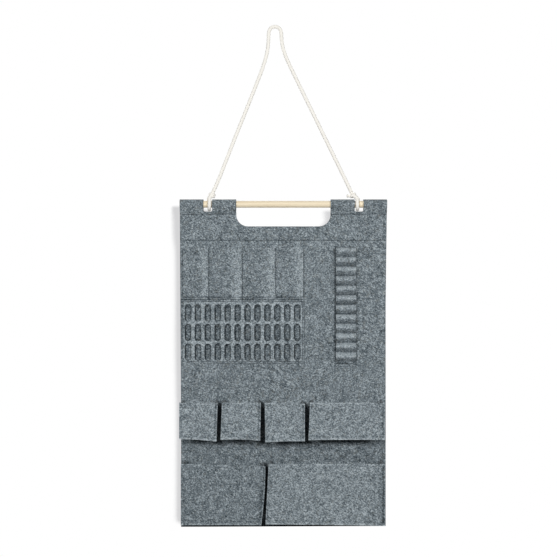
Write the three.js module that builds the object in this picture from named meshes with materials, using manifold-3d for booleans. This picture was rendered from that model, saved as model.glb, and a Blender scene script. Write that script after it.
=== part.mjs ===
// Felt wall organizer for needlework tools, hung by a cotton cord from one nail.
// Millimetres, +Z up, +X to the right as seen from the front, +Y towards the wall.
// The origin is the hanging point: the underside of the cord where it bears on the nail.

import * as THREE from 'three';
import { mergeVertices } from 'three/addons/utils/BufferGeometryUtils.js';
import Module from 'manifold-3d';

const wasm = await Module();
wasm.setup();

// Felt and fits
const feltThickness = 3;
const seamGap = 0.3; // between pieces that touch

// Dowel and the hem that is folded over it; drops are measured down from the dowel's axis
const dowelDiameter = 15;
const dowelEndInset = 3; // from the hem's side to the dowel's end
const dowelChamfer = 1;
const hemStitchDrop = 22; // to the seam that closes the sleeve
const flapDrop = 84; // to the end of the flap behind the panel

// Back panel
const panelWidth = 450;
const hemWidth = 456; // the hem is a little wider than the panel below it
const flareDrop = 220; // to where the panel has come in to its own width
const panelDrop = 706; // to the bottom edge

// Hand-hold cut out of the hem, and the two notches that let the cord reach the dowel
const handleWidth = 208;
const handleDrop = 48.8;
const handleCornerRadius = 26;
const earWidth = 53.4; // from the hand-hold to each notch
const notchPlay = 10; // room beside the cord
const notchFloorGap = 0.9; // below the cord
const notchCornerRadius = 4;

// Cord
const cordDiameter = 7.5;
const dowelDrop = 387.5; // from the hanging point to the dowel's axis
const hangOffset = 18.5; // from the hanging point across to the panel's middle line
const loopSideGap = 0.7; // from a cord loop to the inner side of its notch
const knotRise = 9.2; // from the top of the hem to a knot's middle
const knotWrapRadius = 6.2;
const knotWrapThickness = 6.8;
const knotStubLength = 9; // from a knot's middle to where the free cord begins
const tailLength = 14;
const leftKnotLean = 4.4; // from the loop's middle inwards to its knot
const rightKnotLean = 8.4;
const leftStrandLean = 20.4; // degrees from upright, where the free cord leaves its knot
const rightStrandLean = 26;
const leftTailWay = [0.1, 0.95, 0.3]; // towards the wall
const rightTailWay = [-0.97, -0.22, -0.05]; // across the front, to the left
const loopLegAngle = 25; // degrees above level, where a loop's two legs leave the dowel

// Needle pockets, four bulges in one strip
const needleStripDrop = 96.4; // to the mouths
const needleStripLength = 113;
const needleStripInset = 0.5; // from the panel's left edge
const outerNeedlePocketWidth = 60.5;
const innerNeedlePocketWidth = 73.5;
const needlePocketBulge = 9;
const needlePocketCrest = 0.6; // where the bulge is highest, as a share of the pocket's width
const needlePocketTaper = 1.6; // the higher, the nearer to the foot a pocket flattens
const needleSeamLand = 2; // flat felt at each seam

// Slotted panel below the needle pockets
const slotColumns = 12;
const slotRows = 3;
const slotWidth = 14;
const slotHeight = 36.7;
const slotColumnBar = 7.8; // felt between neighbouring slots
const slotRowBar = 6.4; // felt between rows
const slotSideMargin = 8.3;
const slotTopMargin = 10.6;
const slotBottomMargin = 6.3;
const slotPanelBulge = 4;

// Strip of loops for hooks
const hookLoopCount = 12;
const hookLoopPitch = 21;
const hookLoopClearance = 8; // inside height of a loop
const hookSeamLand = 2; // flat felt between two loops
const hookStripWidth = 44.4;
const hookStripShift = 2; // to the right of the middle of the room beside the slotted panel
const hookStripDrop = 91.5;
const hookTailLength = 4.2;

// Box pockets; rises are measured up from the panel's bottom edge
const pocketDepth = 50;
const pocketRidge = 3; // the front stands this far past its gusset
const pocketCornerRadius = 4;
const middlePocketRise = 194.5;
const middlePocketHeight = 81;
const middlePocketWidths = [83, 86, 86]; // the fourth takes the rest of the row
const middlePocketGap = 8;
const middleLeftMargin = 0.5;
const middleRightMargin = 10;
const bottomPocketRise = 12.6;
const bottomPocketHeight = 131;
const bottomLeftPocketWidth = 182.5; // at the mouth
const bottomPocketGap = 6;
const bottomLeftMargin = 4;
const bottomRightMargin = 6;
const bottomDividerLean = 7.5; // how far the gap between the two moves left on its way down

// Fineness of round stretches
const hemArcSegments = 10;
const cornerSegments = 3;
const hookArcSegments = 4;
const needleGridColumns = 8; // across each pocket
const needleGridRows = 6;
const slotGridColumns = 6; // of the slotted panel's bulge
const slotGridRows = 6;
const dowelSides = 32;
const cordSides = 10;
const cordSteps = 80;
const hitchSides = 8;
const hitchSteps = 24;
const loopPoints = 12; // that guide a cord loop round the dowel

// Sizes that follow from those above
const dowelRadius = dowelDiameter / 2;
const cordRadius = cordDiameter / 2;
const sleeveInner = dowelRadius + seamGap;
const sleeveOuter = sleeveInner + feltThickness;
const panelFront = -seamGap / 2 - feltThickness; // the panel's front face, along Y
const sewnOn = panelFront - seamGap; // back of whatever is sewn to the front
const panelLeft = -panelWidth / 2;
const panelRight = panelWidth / 2;
const loopRadius = sleeveInner + cordRadius; // middle of the cord round the dowel
const notchInner = handleWidth / 2 + earWidth;
const notchOuter = notchInner + cordDiameter + notchPlay;
const notchDrop = sleeveInner + cordDiameter + notchFloorGap;
const loopReach = notchInner + loopSideGap + cordRadius; // from the panel's middle line to a cord loop
const knotHeight = sleeveOuter + knotRise;

// Plain finishes
const felt = () => new THREE.MeshStandardMaterial({ color: 0x727b80, roughness: 1, metalness: 0 });
const wood = () => new THREE.MeshStandardMaterial({ color: 0xebdec2, roughness: 0.6, metalness: 0 });
const cotton = () => new THREE.MeshStandardMaterial({ color: 0xf3f1ec, roughness: 1, metalness: 0 });

// A closed geometry as a solid that can be joined and cut
function solidOf(geometry) {
  const bare = geometry.clone();
  bare.deleteAttribute('normal');
  bare.deleteAttribute('uv');
  const merged = mergeVertices(bare, 1e-4);
  return new wasm.Manifold(new wasm.Mesh({
    numProp: 3,
    vertProperties: new Float32Array(merged.attributes.position.array),
    triVerts: new Uint32Array(merged.index.array),
  }));
}

// A solid as a geometry again
function geometryOf(solid) {
  const mesh = solid.getMesh();
  const geometry = new THREE.BufferGeometry();
  geometry.setAttribute('position', new THREE.BufferAttribute(mesh.vertProperties, 3));
  geometry.setIndex(new THREE.BufferAttribute(mesh.triVerts, 1));
  geometry.computeVertexNormals();
  return geometry;
}

// A named piece with its own finish
function piece(name, geometry, material) {
  const mesh = new THREE.Mesh(geometry, material);
  mesh.name = name;
  return mesh;
}

// A shape drawn in X and Z, standing from y = back towards the viewer by depth
function prismFromFront(shape, back, depth, curveSegments = cornerSegments) {
  const geometry = new THREE.ExtrudeGeometry(shape, { depth, bevelEnabled: false, curveSegments });
  geometry.rotateX(Math.PI / 2);
  geometry.translate(0, back, 0);
  return geometry;
}

// A profile drawn in Y and Z, run along X from left by length
function prismFromSide(shape, left, length, curveSegments) {
  const geometry = new THREE.ExtrudeGeometry(shape, { depth: length, bevelEnabled: false, curveSegments });
  geometry.applyMatrix4(new THREE.Matrix4().makeBasis(
    new THREE.Vector3(0, 1, 0),
    new THREE.Vector3(0, 0, 1),
    new THREE.Vector3(1, 0, 0),
  ));
  geometry.translate(left, 0, 0);
  return geometry;
}

// A round tube along points, with flat ends
function tube(points, radius, sides, steps) {
  const section = new THREE.Shape();
  for (let side = 0; side < sides; side += 1) {
    const angle = (2 * Math.PI * side) / sides;
    const corner = [radius * Math.cos(angle), radius * Math.sin(angle)];
    if (side === 0) section.moveTo(...corner);
    else section.lineTo(...corner);
  }
  const extrudePath = new THREE.CatmullRomCurve3(points);
  return new THREE.ExtrudeGeometry(section, { extrudePath, steps, bevelEnabled: false });
}

// A felt sheet over a grid in X and Z whose back stands off the panel by rise(x, z)
function feltSheet(xs, zs, rise) {
  const positions = [];
  for (const y of [-feltThickness, 0]) {
    for (const z of zs) {
      for (const x of xs) positions.push(x, sewnOn - rise(x, z) + y, z);
    }
  }
  const columns = xs.length;
  const layer = columns * zs.length;
  const triangles = [];
  const quad = (a, b, c, d) => triangles.push(a, b, c, a, c, d);
  for (let row = 0; row + 1 < zs.length; row += 1) {
    for (let column = 0; column + 1 < columns; column += 1) {
      const corner = row * columns + column;
      const above = corner + columns;
      quad(corner, corner + 1, above + 1, above);
      quad(layer + corner, layer + above, layer + above + 1, layer + corner + 1);
    }
    const left = row * columns;
    const right = left + columns - 1;
    quad(left, left + columns, layer + left + columns, layer + left);
    quad(right, layer + right, layer + right + columns, right + columns);
  }
  const top = layer - columns;
  for (let column = 0; column + 1 < columns; column += 1) {
    quad(column, layer + column, layer + column + 1, column + 1);
    quad(top + column, top + column + 1, layer + top + column + 1, layer + top + column);
  }
  const geometry = new THREE.BufferGeometry();
  geometry.setAttribute('position', new THREE.Float32BufferAttribute(positions, 3));
  geometry.setIndex(triangles);
  geometry.computeVertexNormals();
  return geometry;
}

// Evenly spaced values from first to last
function spaced(first, last, count) {
  return Array.from({ length: count + 1 }, (_, index) => first + ((last - first) * index) / count);
}

// Side profile of the back panel: up the front, over the dowel and down behind as a flap
function panelProfile() {
  const slit = seamGap / 2;
  const lean = Math.asin(sleeveInner / hemStitchDrop); // slope of the sleeve's flanks
  const bend = hemStitchDrop + feltThickness * Math.tan(lean / 2);
  const outer = slit + feltThickness;
  const shape = new THREE.Shape();
  shape.moveTo(-outer, -panelDrop);
  shape.lineTo(-outer, -bend);
  shape.absarc(0, 0, sleeveOuter, Math.PI + lean, -lean, true);
  shape.lineTo(outer, -bend);
  shape.lineTo(outer, -flapDrop);
  shape.lineTo(slit, -flapDrop);
  shape.lineTo(slit, -hemStitchDrop);
  shape.absarc(0, 0, sleeveInner, -lean, Math.PI + lean, false);
  shape.lineTo(-slit, -hemStitchDrop);
  shape.lineTo(-slit, -panelDrop);
  return shape;
}

// Front outline of the back panel, with the hand-hold and the notches open at the top
function panelOutline() {
  const top = sleeveOuter + feltThickness; // clear of the fold
  const flare = hemWidth / 2;
  const shape = new THREE.Shape();
  shape.moveTo(panelLeft, -panelDrop);
  shape.lineTo(panelRight, -panelDrop);
  shape.lineTo(panelRight, -flareDrop);
  shape.lineTo(flare, sleeveOuter);
  shape.lineTo(flare, top);
  const cutDown = (right, left, drop, radius) => {
    shape.lineTo(right, top);
    shape.lineTo(right, radius - drop);
    shape.absarc(right - radius, radius - drop, radius, 0, -Math.PI / 2, true);
    shape.absarc(left + radius, radius - drop, radius, -Math.PI / 2, -Math.PI, true);
    shape.lineTo(left, top);
  };
  cutDown(notchOuter, notchInner, notchDrop, notchCornerRadius);
  cutDown(handleWidth / 2, -handleWidth / 2, handleDrop, handleCornerRadius);
  cutDown(-notchInner, -notchOuter, notchDrop, notchCornerRadius);
  shape.lineTo(-flare, top);
  shape.lineTo(-flare, sleeveOuter);
  shape.lineTo(panelLeft, -flareDrop);
  return shape;
}

function backPanel() {
  const folded = solidOf(prismFromSide(panelProfile(), -hemWidth, 2 * hemWidth, hemArcSegments));
  const reach = sleeveOuter + feltThickness; // past both faces of the fold
  const cut = solidOf(prismFromFront(panelOutline(), reach, 2 * reach));
  return piece('back_panel', geometryOf(folded.intersect(cut)), felt());
}

function dowel() {
  const half = hemWidth / 2 - dowelEndInset;
  const profile = [
    new THREE.Vector2(0, -half),
    new THREE.Vector2(dowelRadius - dowelChamfer, -half),
    new THREE.Vector2(dowelRadius, dowelChamfer - half),
    new THREE.Vector2(dowelRadius, half - dowelChamfer),
    new THREE.Vector2(dowelRadius - dowelChamfer, half),
    new THREE.Vector2(0, half),
  ];
  const geometry = new THREE.LatheGeometry(profile, dowelSides);
  geometry.rotateZ(-Math.PI / 2);
  return piece('dowel', geometry, wood());
}

// The way up, leaned to the right by some degrees
function leaning(degrees) {
  const angle = THREE.MathUtils.degToRad(degrees);
  return new THREE.Vector3(Math.sin(angle), 0, Math.cos(angle));
}

// Where a tied end sits: its loop round the dowel, its knot and the ways its strand and tail leave
const leftEnd = {
  loopX: -loopReach,
  knot: new THREE.Vector3(leftKnotLean - loopReach, 0, knotHeight),
  strand: leaning(leftStrandLean),
  tail: new THREE.Vector3(...leftTailWay).normalize(),
};
const rightEnd = {
  loopX: loopReach,
  knot: new THREE.Vector3(loopReach - rightKnotLean, 0, knotHeight),
  strand: leaning(-rightStrandLean),
  tail: new THREE.Vector3(...rightTailWay).normalize(),
};

// One tied end of the cord: a loop round the dowel, a wrap that makes the knot, and a tail
function hitch(name, end) {
  const legGap = cordRadius + seamGap / 2; // the loop's two legs go through the knot side by side
  const legAngle = THREE.MathUtils.degToRad(loopLegAngle);
  const loop = spaced(legAngle, -Math.PI - legAngle, loopPoints).map((angle) => new THREE.Vector3(
    end.loopX, -loopRadius * Math.cos(angle), loopRadius * Math.sin(angle),
  ));
  const legRise = knotHeight - knotWrapRadius; // clear of the hem, where the legs start to lean
  const leg = (side) => [
    new THREE.Vector3(end.knot.x, side * legGap, knotHeight + seamGap),
    new THREE.Vector3(end.loopX, side * (legGap + cordRadius / 2), legRise),
  ];
  const path = [...leg(-1), ...loop, ...leg(1).reverse()];
  const wrap = new THREE.TorusGeometry(knotWrapRadius, knotWrapThickness / 2, hitchSides, 2 * hitchSides);
  wrap.applyQuaternion(new THREE.Quaternion().setFromUnitVectors(new THREE.Vector3(0, 0, 1), end.strand));
  wrap.translate(...end.knot);
  const from = (direction, length) => [end.knot, end.knot.clone().addScaledVector(direction, length)];
  const solid = solidOf(tube(path, cordRadius, hitchSides, hitchSteps))
    .add(solidOf(wrap))
    .add(solidOf(tube(from(end.strand, knotStubLength), cordRadius, cordSides, 1)))
    .add(solidOf(tube(from(end.tail, tailLength), cordRadius, hitchSides, 1)));
  return piece(name, geometryOf(solid), cotton());
}

// The cord from knot to knot over the nail, as X and Z from the hanging point
const cordRoute = [
  [-121, -325.3],
  [-93.5, -254.9],
  [-65.3, -184.5],
  [-37.4, -114],
  [-30.6, -96.5],
  [-24.6, -78.9],
  [-19.4, -61.3],
  [-16, -43.7],
  [-14.4, -26],
  [-13.8, -10.3],
  [-9.8, -0.2],
  [0, 3.75],
  [9.8, -0.2],
  [13.8, -10.3],
  [14.8, -26],
  [17.8, -43.7],
  [23.6, -61.3],
  [31.2, -78.9],
  [39.6, -96.5],
  [48, -114],
  [82.4, -184.5],
  [116.6, -254.9],
  [151, -325.3],
];

function hangingCord() {
  const start = (end) => end.knot.clone()
    .addScaledVector(end.strand, knotStubLength + seamGap)
    .add(new THREE.Vector3(hangOffset, 0, -dowelDrop));
  const points = cordRoute.map(([x, z]) => new THREE.Vector3(x, 0, z));
  const geometry = tube([start(leftEnd), ...points, start(rightEnd)], cordRadius, cordSides, cordSteps);
  return piece('hanging_cord', geometry, cotton());
}

function needlePocketStrip() {
  const widths = [
    outerNeedlePocketWidth, innerNeedlePocketWidth, innerNeedlePocketWidth, outerNeedlePocketWidth,
  ];
  const seams = [panelLeft + needleStripInset];
  for (const width of widths) seams.push(seams.at(-1) + width);
  const xs = [seams[0]];
  widths.forEach((width, index) => {
    const first = seams[index] + needleSeamLand / 2;
    xs.push(...spaced(first, first + width - needleSeamLand, needleGridColumns));
  });
  xs.push(seams.at(-1));
  const mouth = -needleStripDrop;
  const foot = mouth - needleStripLength;
  const rise = (x, z) => {
    const index = Math.min(widths.length - 1, seams.filter((seam) => seam <= x).length - 1);
    const across = (x - seams[index] - needleSeamLand / 2) / (widths[index] - needleSeamLand);
    const share = across < needlePocketCrest
      ? across / needlePocketCrest
      : (1 - across) / (1 - needlePocketCrest);
    const down = (mouth - z) / needleStripLength;
    const fade = (Math.PI / 2) * down ** needlePocketTaper;
    const bulge = Math.sin((Math.PI / 2) * Math.max(0, share)) * Math.cos(fade);
    return needlePocketBulge * bulge;
  };
  const geometry = feltSheet(xs, spaced(foot, mouth, needleGridRows), rise);
  return piece('needle_pocket_strip', geometry, felt());
}

// Outline of the slotted panel, which starts where the needle pockets end
const slotPanel = {
  left: panelLeft + needleStripInset,
  top: -needleStripDrop - needleStripLength - 2 * seamGap,
  width: 2 * slotSideMargin + slotColumns * slotWidth + (slotColumns - 1) * slotColumnBar,
  height: slotTopMargin + slotRows * slotHeight + (slotRows - 1) * slotRowBar + slotBottomMargin,
};

function slottedPanel() {
  const { left, top, width, height } = slotPanel;
  const rise = (x, z) => {
    const across = Math.sin((Math.PI * (x - left)) / width);
    const down = Math.sin((Math.PI * (top - z)) / height);
    return slotPanelBulge * Math.sqrt(Math.max(0, across)) * Math.max(0, down);
  };
  const sheet = feltSheet(
    spaced(left, left + width, slotGridColumns),
    spaced(top - height, top, slotGridRows),
    rise,
  );
  let solid = solidOf(sheet);
  const radius = slotWidth / 2;
  const depth = slotPanelBulge + 4 * feltThickness; // through the sheet and out of both faces
  for (let row = 0; row < slotRows; row += 1) {
    const high = top - slotTopMargin - row * (slotHeight + slotRowBar);
    for (let column = 0; column < slotColumns; column += 1) {
      const middle = left + slotSideMargin + radius + column * (slotWidth + slotColumnBar);
      const slot = new THREE.Shape();
      slot.absarc(middle, high - radius, radius, 0, Math.PI, false);
      slot.absarc(middle, high - slotHeight + radius, radius, Math.PI, 2 * Math.PI, false);
      solid = solid.subtract(solidOf(prismFromFront(slot, sewnOn + feltThickness, depth)));
    }
  }
  return piece('slot_panel', geometryOf(solid), felt());
}

// The strip of hook loops stands between the slotted panel and the panel's right edge
function hookLoopStrip() {
  const middle = (slotPanel.left + slotPanel.width + panelRight) / 2 + hookStripShift;
  const top = -hookStripDrop;
  const foot = top - hookLoopCount * hookLoopPitch;
  const outerHalf = (hookLoopPitch - hookSeamLand) / 2;
  const innerHalf = outerHalf - feltThickness / 2;
  const landFront = sewnOn - feltThickness;
  const shape = new THREE.Shape();
  shape.moveTo(sewnOn, foot - hookTailLength);
  for (let loop = 0; loop < hookLoopCount; loop += 1) {
    const centre = foot + (loop + 0.5) * hookLoopPitch;
    shape.lineTo(sewnOn, centre - innerHalf);
    shape.absellipse(sewnOn, centre, hookLoopClearance, innerHalf, -Math.PI / 2, Math.PI / 2, true, 0);
  }
  shape.lineTo(sewnOn, top);
  shape.lineTo(landFront, top);
  for (let loop = hookLoopCount - 1; loop >= 0; loop -= 1) {
    const centre = foot + (loop + 0.5) * hookLoopPitch;
    shape.absellipse(landFront, centre, hookLoopClearance, outerHalf, Math.PI / 2, 1.5 * Math.PI, false, 0);
  }
  shape.lineTo(landFront, foot - hookTailLength);
  const geometry = prismFromSide(shape, middle - hookStripWidth / 2, hookStripWidth, hookArcSegments);
  return piece('hook_loop_strip', geometry, felt());
}

// A box pocket's corners seen from the front: its sides at the mouth and at the foot
function pocketFrame(left, right, foot, height, leftLean, rightLean) {
  return { left, right, foot, mouth: foot + height, leftLean, rightLean };
}

// Left or right side of a pocket at its foot, drawn in by inset
const footLeft = (frame, inset) => frame.left - frame.leftLean + inset;
const footRight = (frame, inset) => frame.right - frame.rightLean - inset;

// From the left of the mouth down, along the foot and up to the right of the mouth
function traceDownAndUp(shape, frame, inset, radius) {
  const low = frame.foot + inset;
  shape.moveTo(frame.left + inset, frame.mouth);
  shape.lineTo(footLeft(frame, inset), low + radius);
  shape.quadraticCurveTo(footLeft(frame, inset), low, footLeft(frame, inset) + radius, low);
  shape.lineTo(footRight(frame, inset) - radius, low);
  shape.quadraticCurveTo(footRight(frame, inset), low, footRight(frame, inset), low + radius);
  shape.lineTo(frame.right - inset, frame.mouth);
}

function pocketFront(name, frame) {
  const shape = new THREE.Shape();
  traceDownAndUp(shape, frame, 0, pocketCornerRadius);
  const back = sewnOn - pocketDepth - seamGap;
  return piece(`${name}_front`, prismFromFront(shape, back, feltThickness), felt());
}

function pocketGusset(name, frame) {
  const shape = new THREE.Shape();
  const inner = pocketRidge + feltThickness;
  traceDownAndUp(shape, frame, pocketRidge, pocketCornerRadius);
  const cavity = new THREE.Shape();
  traceDownAndUp(cavity, frame, inner, Math.max(pocketCornerRadius - feltThickness, seamGap));
  for (const point of cavity.getPoints(cornerSegments).reverse()) shape.lineTo(point.x, point.y);
  return piece(`${name}_gusset`, prismFromFront(shape, sewnOn, pocketDepth), felt());
}

function boxPocket(name, frame) {
  return [pocketFront(name, frame), pocketGusset(name, frame)];
}

function middlePockets() {
  const foot = middlePocketRise - panelDrop;
  const pieces = [];
  let left = panelLeft + middleLeftMargin;
  for (let index = 0; index <= middlePocketWidths.length; index += 1) {
    const isLast = index === middlePocketWidths.length;
    const right = isLast ? panelRight - middleRightMargin : left + middlePocketWidths[index];
    const frame = pocketFrame(left, right, foot, middlePocketHeight, 0, 0);
    pieces.push(...boxPocket(`middle_pocket_${index + 1}`, frame));
    left = right + middlePocketGap;
  }
  return pieces;
}

function bottomPockets() {
  const foot = bottomPocketRise - panelDrop;
  const left = panelLeft + bottomLeftMargin;
  const divider = left + bottomLeftPocketWidth;
  const right = panelRight - bottomRightMargin;
  const leftFrame = pocketFrame(left, divider, foot, bottomPocketHeight, 0, bottomDividerLean);
  const rightFrame = pocketFrame(
    divider + bottomPocketGap, right, foot, bottomPocketHeight, bottomDividerLean, 0,
  );
  return [
    ...boxPocket('bottom_pocket_left', leftFrame),
    ...boxPocket('bottom_pocket_right', rightFrame),
  ];
}

// Everything that hangs below the nail is placed from the dowel's axis
const hung = new THREE.Group();
hung.position.set(hangOffset, 0, -dowelDrop);
hung.add(
  backPanel(),
  dowel(),
  hitch('left_hitch', leftEnd),
  hitch('right_hitch', rightEnd),
  needlePocketStrip(),
  slottedPanel(),
  hookLoopStrip(),
  ...middlePockets(),
  ...bottomPockets(),
);

const organizer = new THREE.Group();
organizer.add(hangingCord(), hung);

export default organizer;
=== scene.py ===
"""Felt wall organizer on a wooden dowel and a cotton cord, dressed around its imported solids.

The model is in metres: +Z up, +X to the right as seen from the front, +Y towards the wall, with the
hanging point at the origin. Pieces are drawn in millimetres from the middle of the dowel, and put in
their place when their mesh is done.
"""

import logging
import math
import random
from collections.abc import Iterable, Mapping, Sequence
from dataclasses import dataclass, field
from enum import Enum

import bmesh
import bpy
from mathutils import Euler, Matrix, Vector, noise


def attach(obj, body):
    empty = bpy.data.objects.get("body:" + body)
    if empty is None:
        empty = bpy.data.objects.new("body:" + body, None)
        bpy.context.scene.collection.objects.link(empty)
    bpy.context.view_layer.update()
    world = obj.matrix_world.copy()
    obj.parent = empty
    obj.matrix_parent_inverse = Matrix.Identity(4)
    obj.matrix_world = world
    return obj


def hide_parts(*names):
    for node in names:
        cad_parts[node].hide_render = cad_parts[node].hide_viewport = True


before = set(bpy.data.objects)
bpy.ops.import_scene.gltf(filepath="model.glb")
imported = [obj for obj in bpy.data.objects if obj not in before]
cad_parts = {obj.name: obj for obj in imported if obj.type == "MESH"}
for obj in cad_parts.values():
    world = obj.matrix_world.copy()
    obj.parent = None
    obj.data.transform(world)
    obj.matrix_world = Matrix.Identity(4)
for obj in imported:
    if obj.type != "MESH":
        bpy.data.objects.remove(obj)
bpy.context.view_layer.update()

LOG = logging.getLogger("organizer")

MM = 0.001
DOWEL_MIDDLE = Vector((18.5, 0.0, -387.5))  # from the hanging point, in millimetres
PLACE = Matrix.Scale(MM, 4) @ Matrix.Translation(DOWEL_MIDDLE)

# Felt and the layers that it makes in front of the dowel's middle plane, in millimetres
FELT = 3.0
GAP = 0.3
PANEL_FRONT = -GAP / 2 - FELT
SEWN_BACK = PANEL_FRONT - GAP
SEWN_FRONT = SEWN_BACK - FELT
PANEL_LEFT = -225.0
PANEL_RIGHT = 225.0
PANEL_FOOT = -706.0
STITCH_SINK = 0.1  # how far stitches lie in the felt
SEAM_DIP = 0.5  # how far a seam presses the felt in
CLOSE = 0.1  # a point as near as this to an edge is on it
EDGE_ROUND = 0.8  # how far a cut edge is rounded
EDGE_ANGLE = 55.0  # degrees, from which on an edge is a cut one

BMesh = bmesh.types.BMesh
Material = bpy.types.Material
Piece = bpy.types.Object
Colour = tuple[float, float, float, float]
Point = tuple[float, float, float]
Spot = tuple[float, float]  # X and Z

WHITE: Colour = (1.0, 1.0, 1.0, 1.0)


class Slot(str, Enum):
    """The record's material slots."""

    FELT = "felt"
    WOOD = "wood"
    COTTON = "cotton"


class Body(str, Enum):
    """The bodies that pieces ride on."""

    HANGER = "hanger"
    DOWEL = "dowel"
    ORGANIZER = "organizer"


class Held(str, Enum):
    """How a sheet of felt is held in its shape."""

    HUNG = "hung"
    LAID = "laid"
    GATHERED = "gathered"
    FOLDED = "folded"


class Axis(Enum):
    """The directions that a sheet is scored across."""

    X = Vector((1.0, 0.0, 0.0))
    Y = Vector((0.0, 1.0, 0.0))
    Z = Vector((0.0, 0.0, 1.0))


def srgb(red: float, green: float, blue: float) -> Colour:
    """Turn a display colour into linear light.

    Args:
        red: Red from 0 to 255.
        green: Green from 0 to 255.
        blue: Blue from 0 to 255.

    Returns:
        The linear colour, opaque.
    """
    shares = [level / 255 for level in (red, green, blue)]
    linear = [share / 12.92 if share <= 0.04045 else ((share + 0.055) / 1.055) ** 2.4 for share in shares]
    return linear[0], linear[1], linear[2], 1.0


def held(share: float) -> float:
    """A share kept from 0 to 1."""
    return min(1.0, max(0.0, share))


def ease(share: float) -> float:
    """A share kept from 0 to 1, with a smooth start and end."""
    kept = held(share)
    return kept * kept * (3 - 2 * kept)


def near(off: float, width: float) -> float:
    """1 where off is 0, and evenly down to 0 where it is as large as width."""
    return max(0.0, 1.0 - abs(off) / width)


def hump(share: float, crest: float) -> float:
    """Height of a smooth hump at a share of its length: 0 at both ends and 1 at its crest."""
    side = share / crest if share < crest else (1 - share) / (1 - crest)
    return math.sin(math.pi / 2 * max(0.0, side))


def evenly(first: float, last: float, count: int) -> list[float]:
    """Values from first to last in count equal steps, both ends among them."""
    return [first + (last - first) * step / count for step in range(count + 1)]


def spots(first: Spot, last: Spot, count: int) -> list[Spot]:
    """Places from first to last in count equal steps, both ends among them."""
    return list(zip(evenly(first[0], last[0], count), evenly(first[1], last[1], count)))


def hang_wave(x: float, z: float) -> float:
    """The panel's slight unevenness.

    Args:
        x: Place across the panel, in millimetres from its middle line.
        z: Height from the dowel's axis, in millimetres.

    Returns:
        How far everything there stands towards the wall, in millimetres.
    """
    depth, fine_share = 1.1, 0.35
    start, reach = 30.0, 90.0  # it starts this far below the dowel, and is full this much lower
    below_hem = ease((-z - start) / reach)
    broad = noise.noise(Vector((x * 0.006, z * 0.006, 4.2)))
    fine = noise.noise(Vector((x * 0.019, z * 0.015, 9.7)))
    return depth * below_hem * (broad + fine_share * fine)


# Shader graphs

class Term:
    """A node's output that can stand in a Python expression."""

    def __init__(self, graph: "Graph", socket: bpy.types.NodeSocket) -> None:
        """Keep the graph and the socket that the term stands for."""
        self.graph = graph
        self.socket = socket

    def _math(self, operation: str, first: "Operand", second: "Operand") -> "Term":
        """Add a Math node on two operands."""
        return self.graph.add("ShaderNodeMath", {"operation": operation}, {0: first, 1: second})

    def __add__(self, other: "Operand") -> "Term":
        """Sum."""
        return self._math("ADD", self, other)

    __radd__ = __add__

    def __sub__(self, other: "Operand") -> "Term":
        """Difference."""
        return self._math("SUBTRACT", self, other)

    def __rsub__(self, other: "Operand") -> "Term":
        """Difference from a number."""
        return self._math("SUBTRACT", other, self)

    def __mul__(self, other: "Operand") -> "Term":
        """Product."""
        return self._math("MULTIPLY", self, other)

    __rmul__ = __mul__


Operand = Term | float


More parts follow.
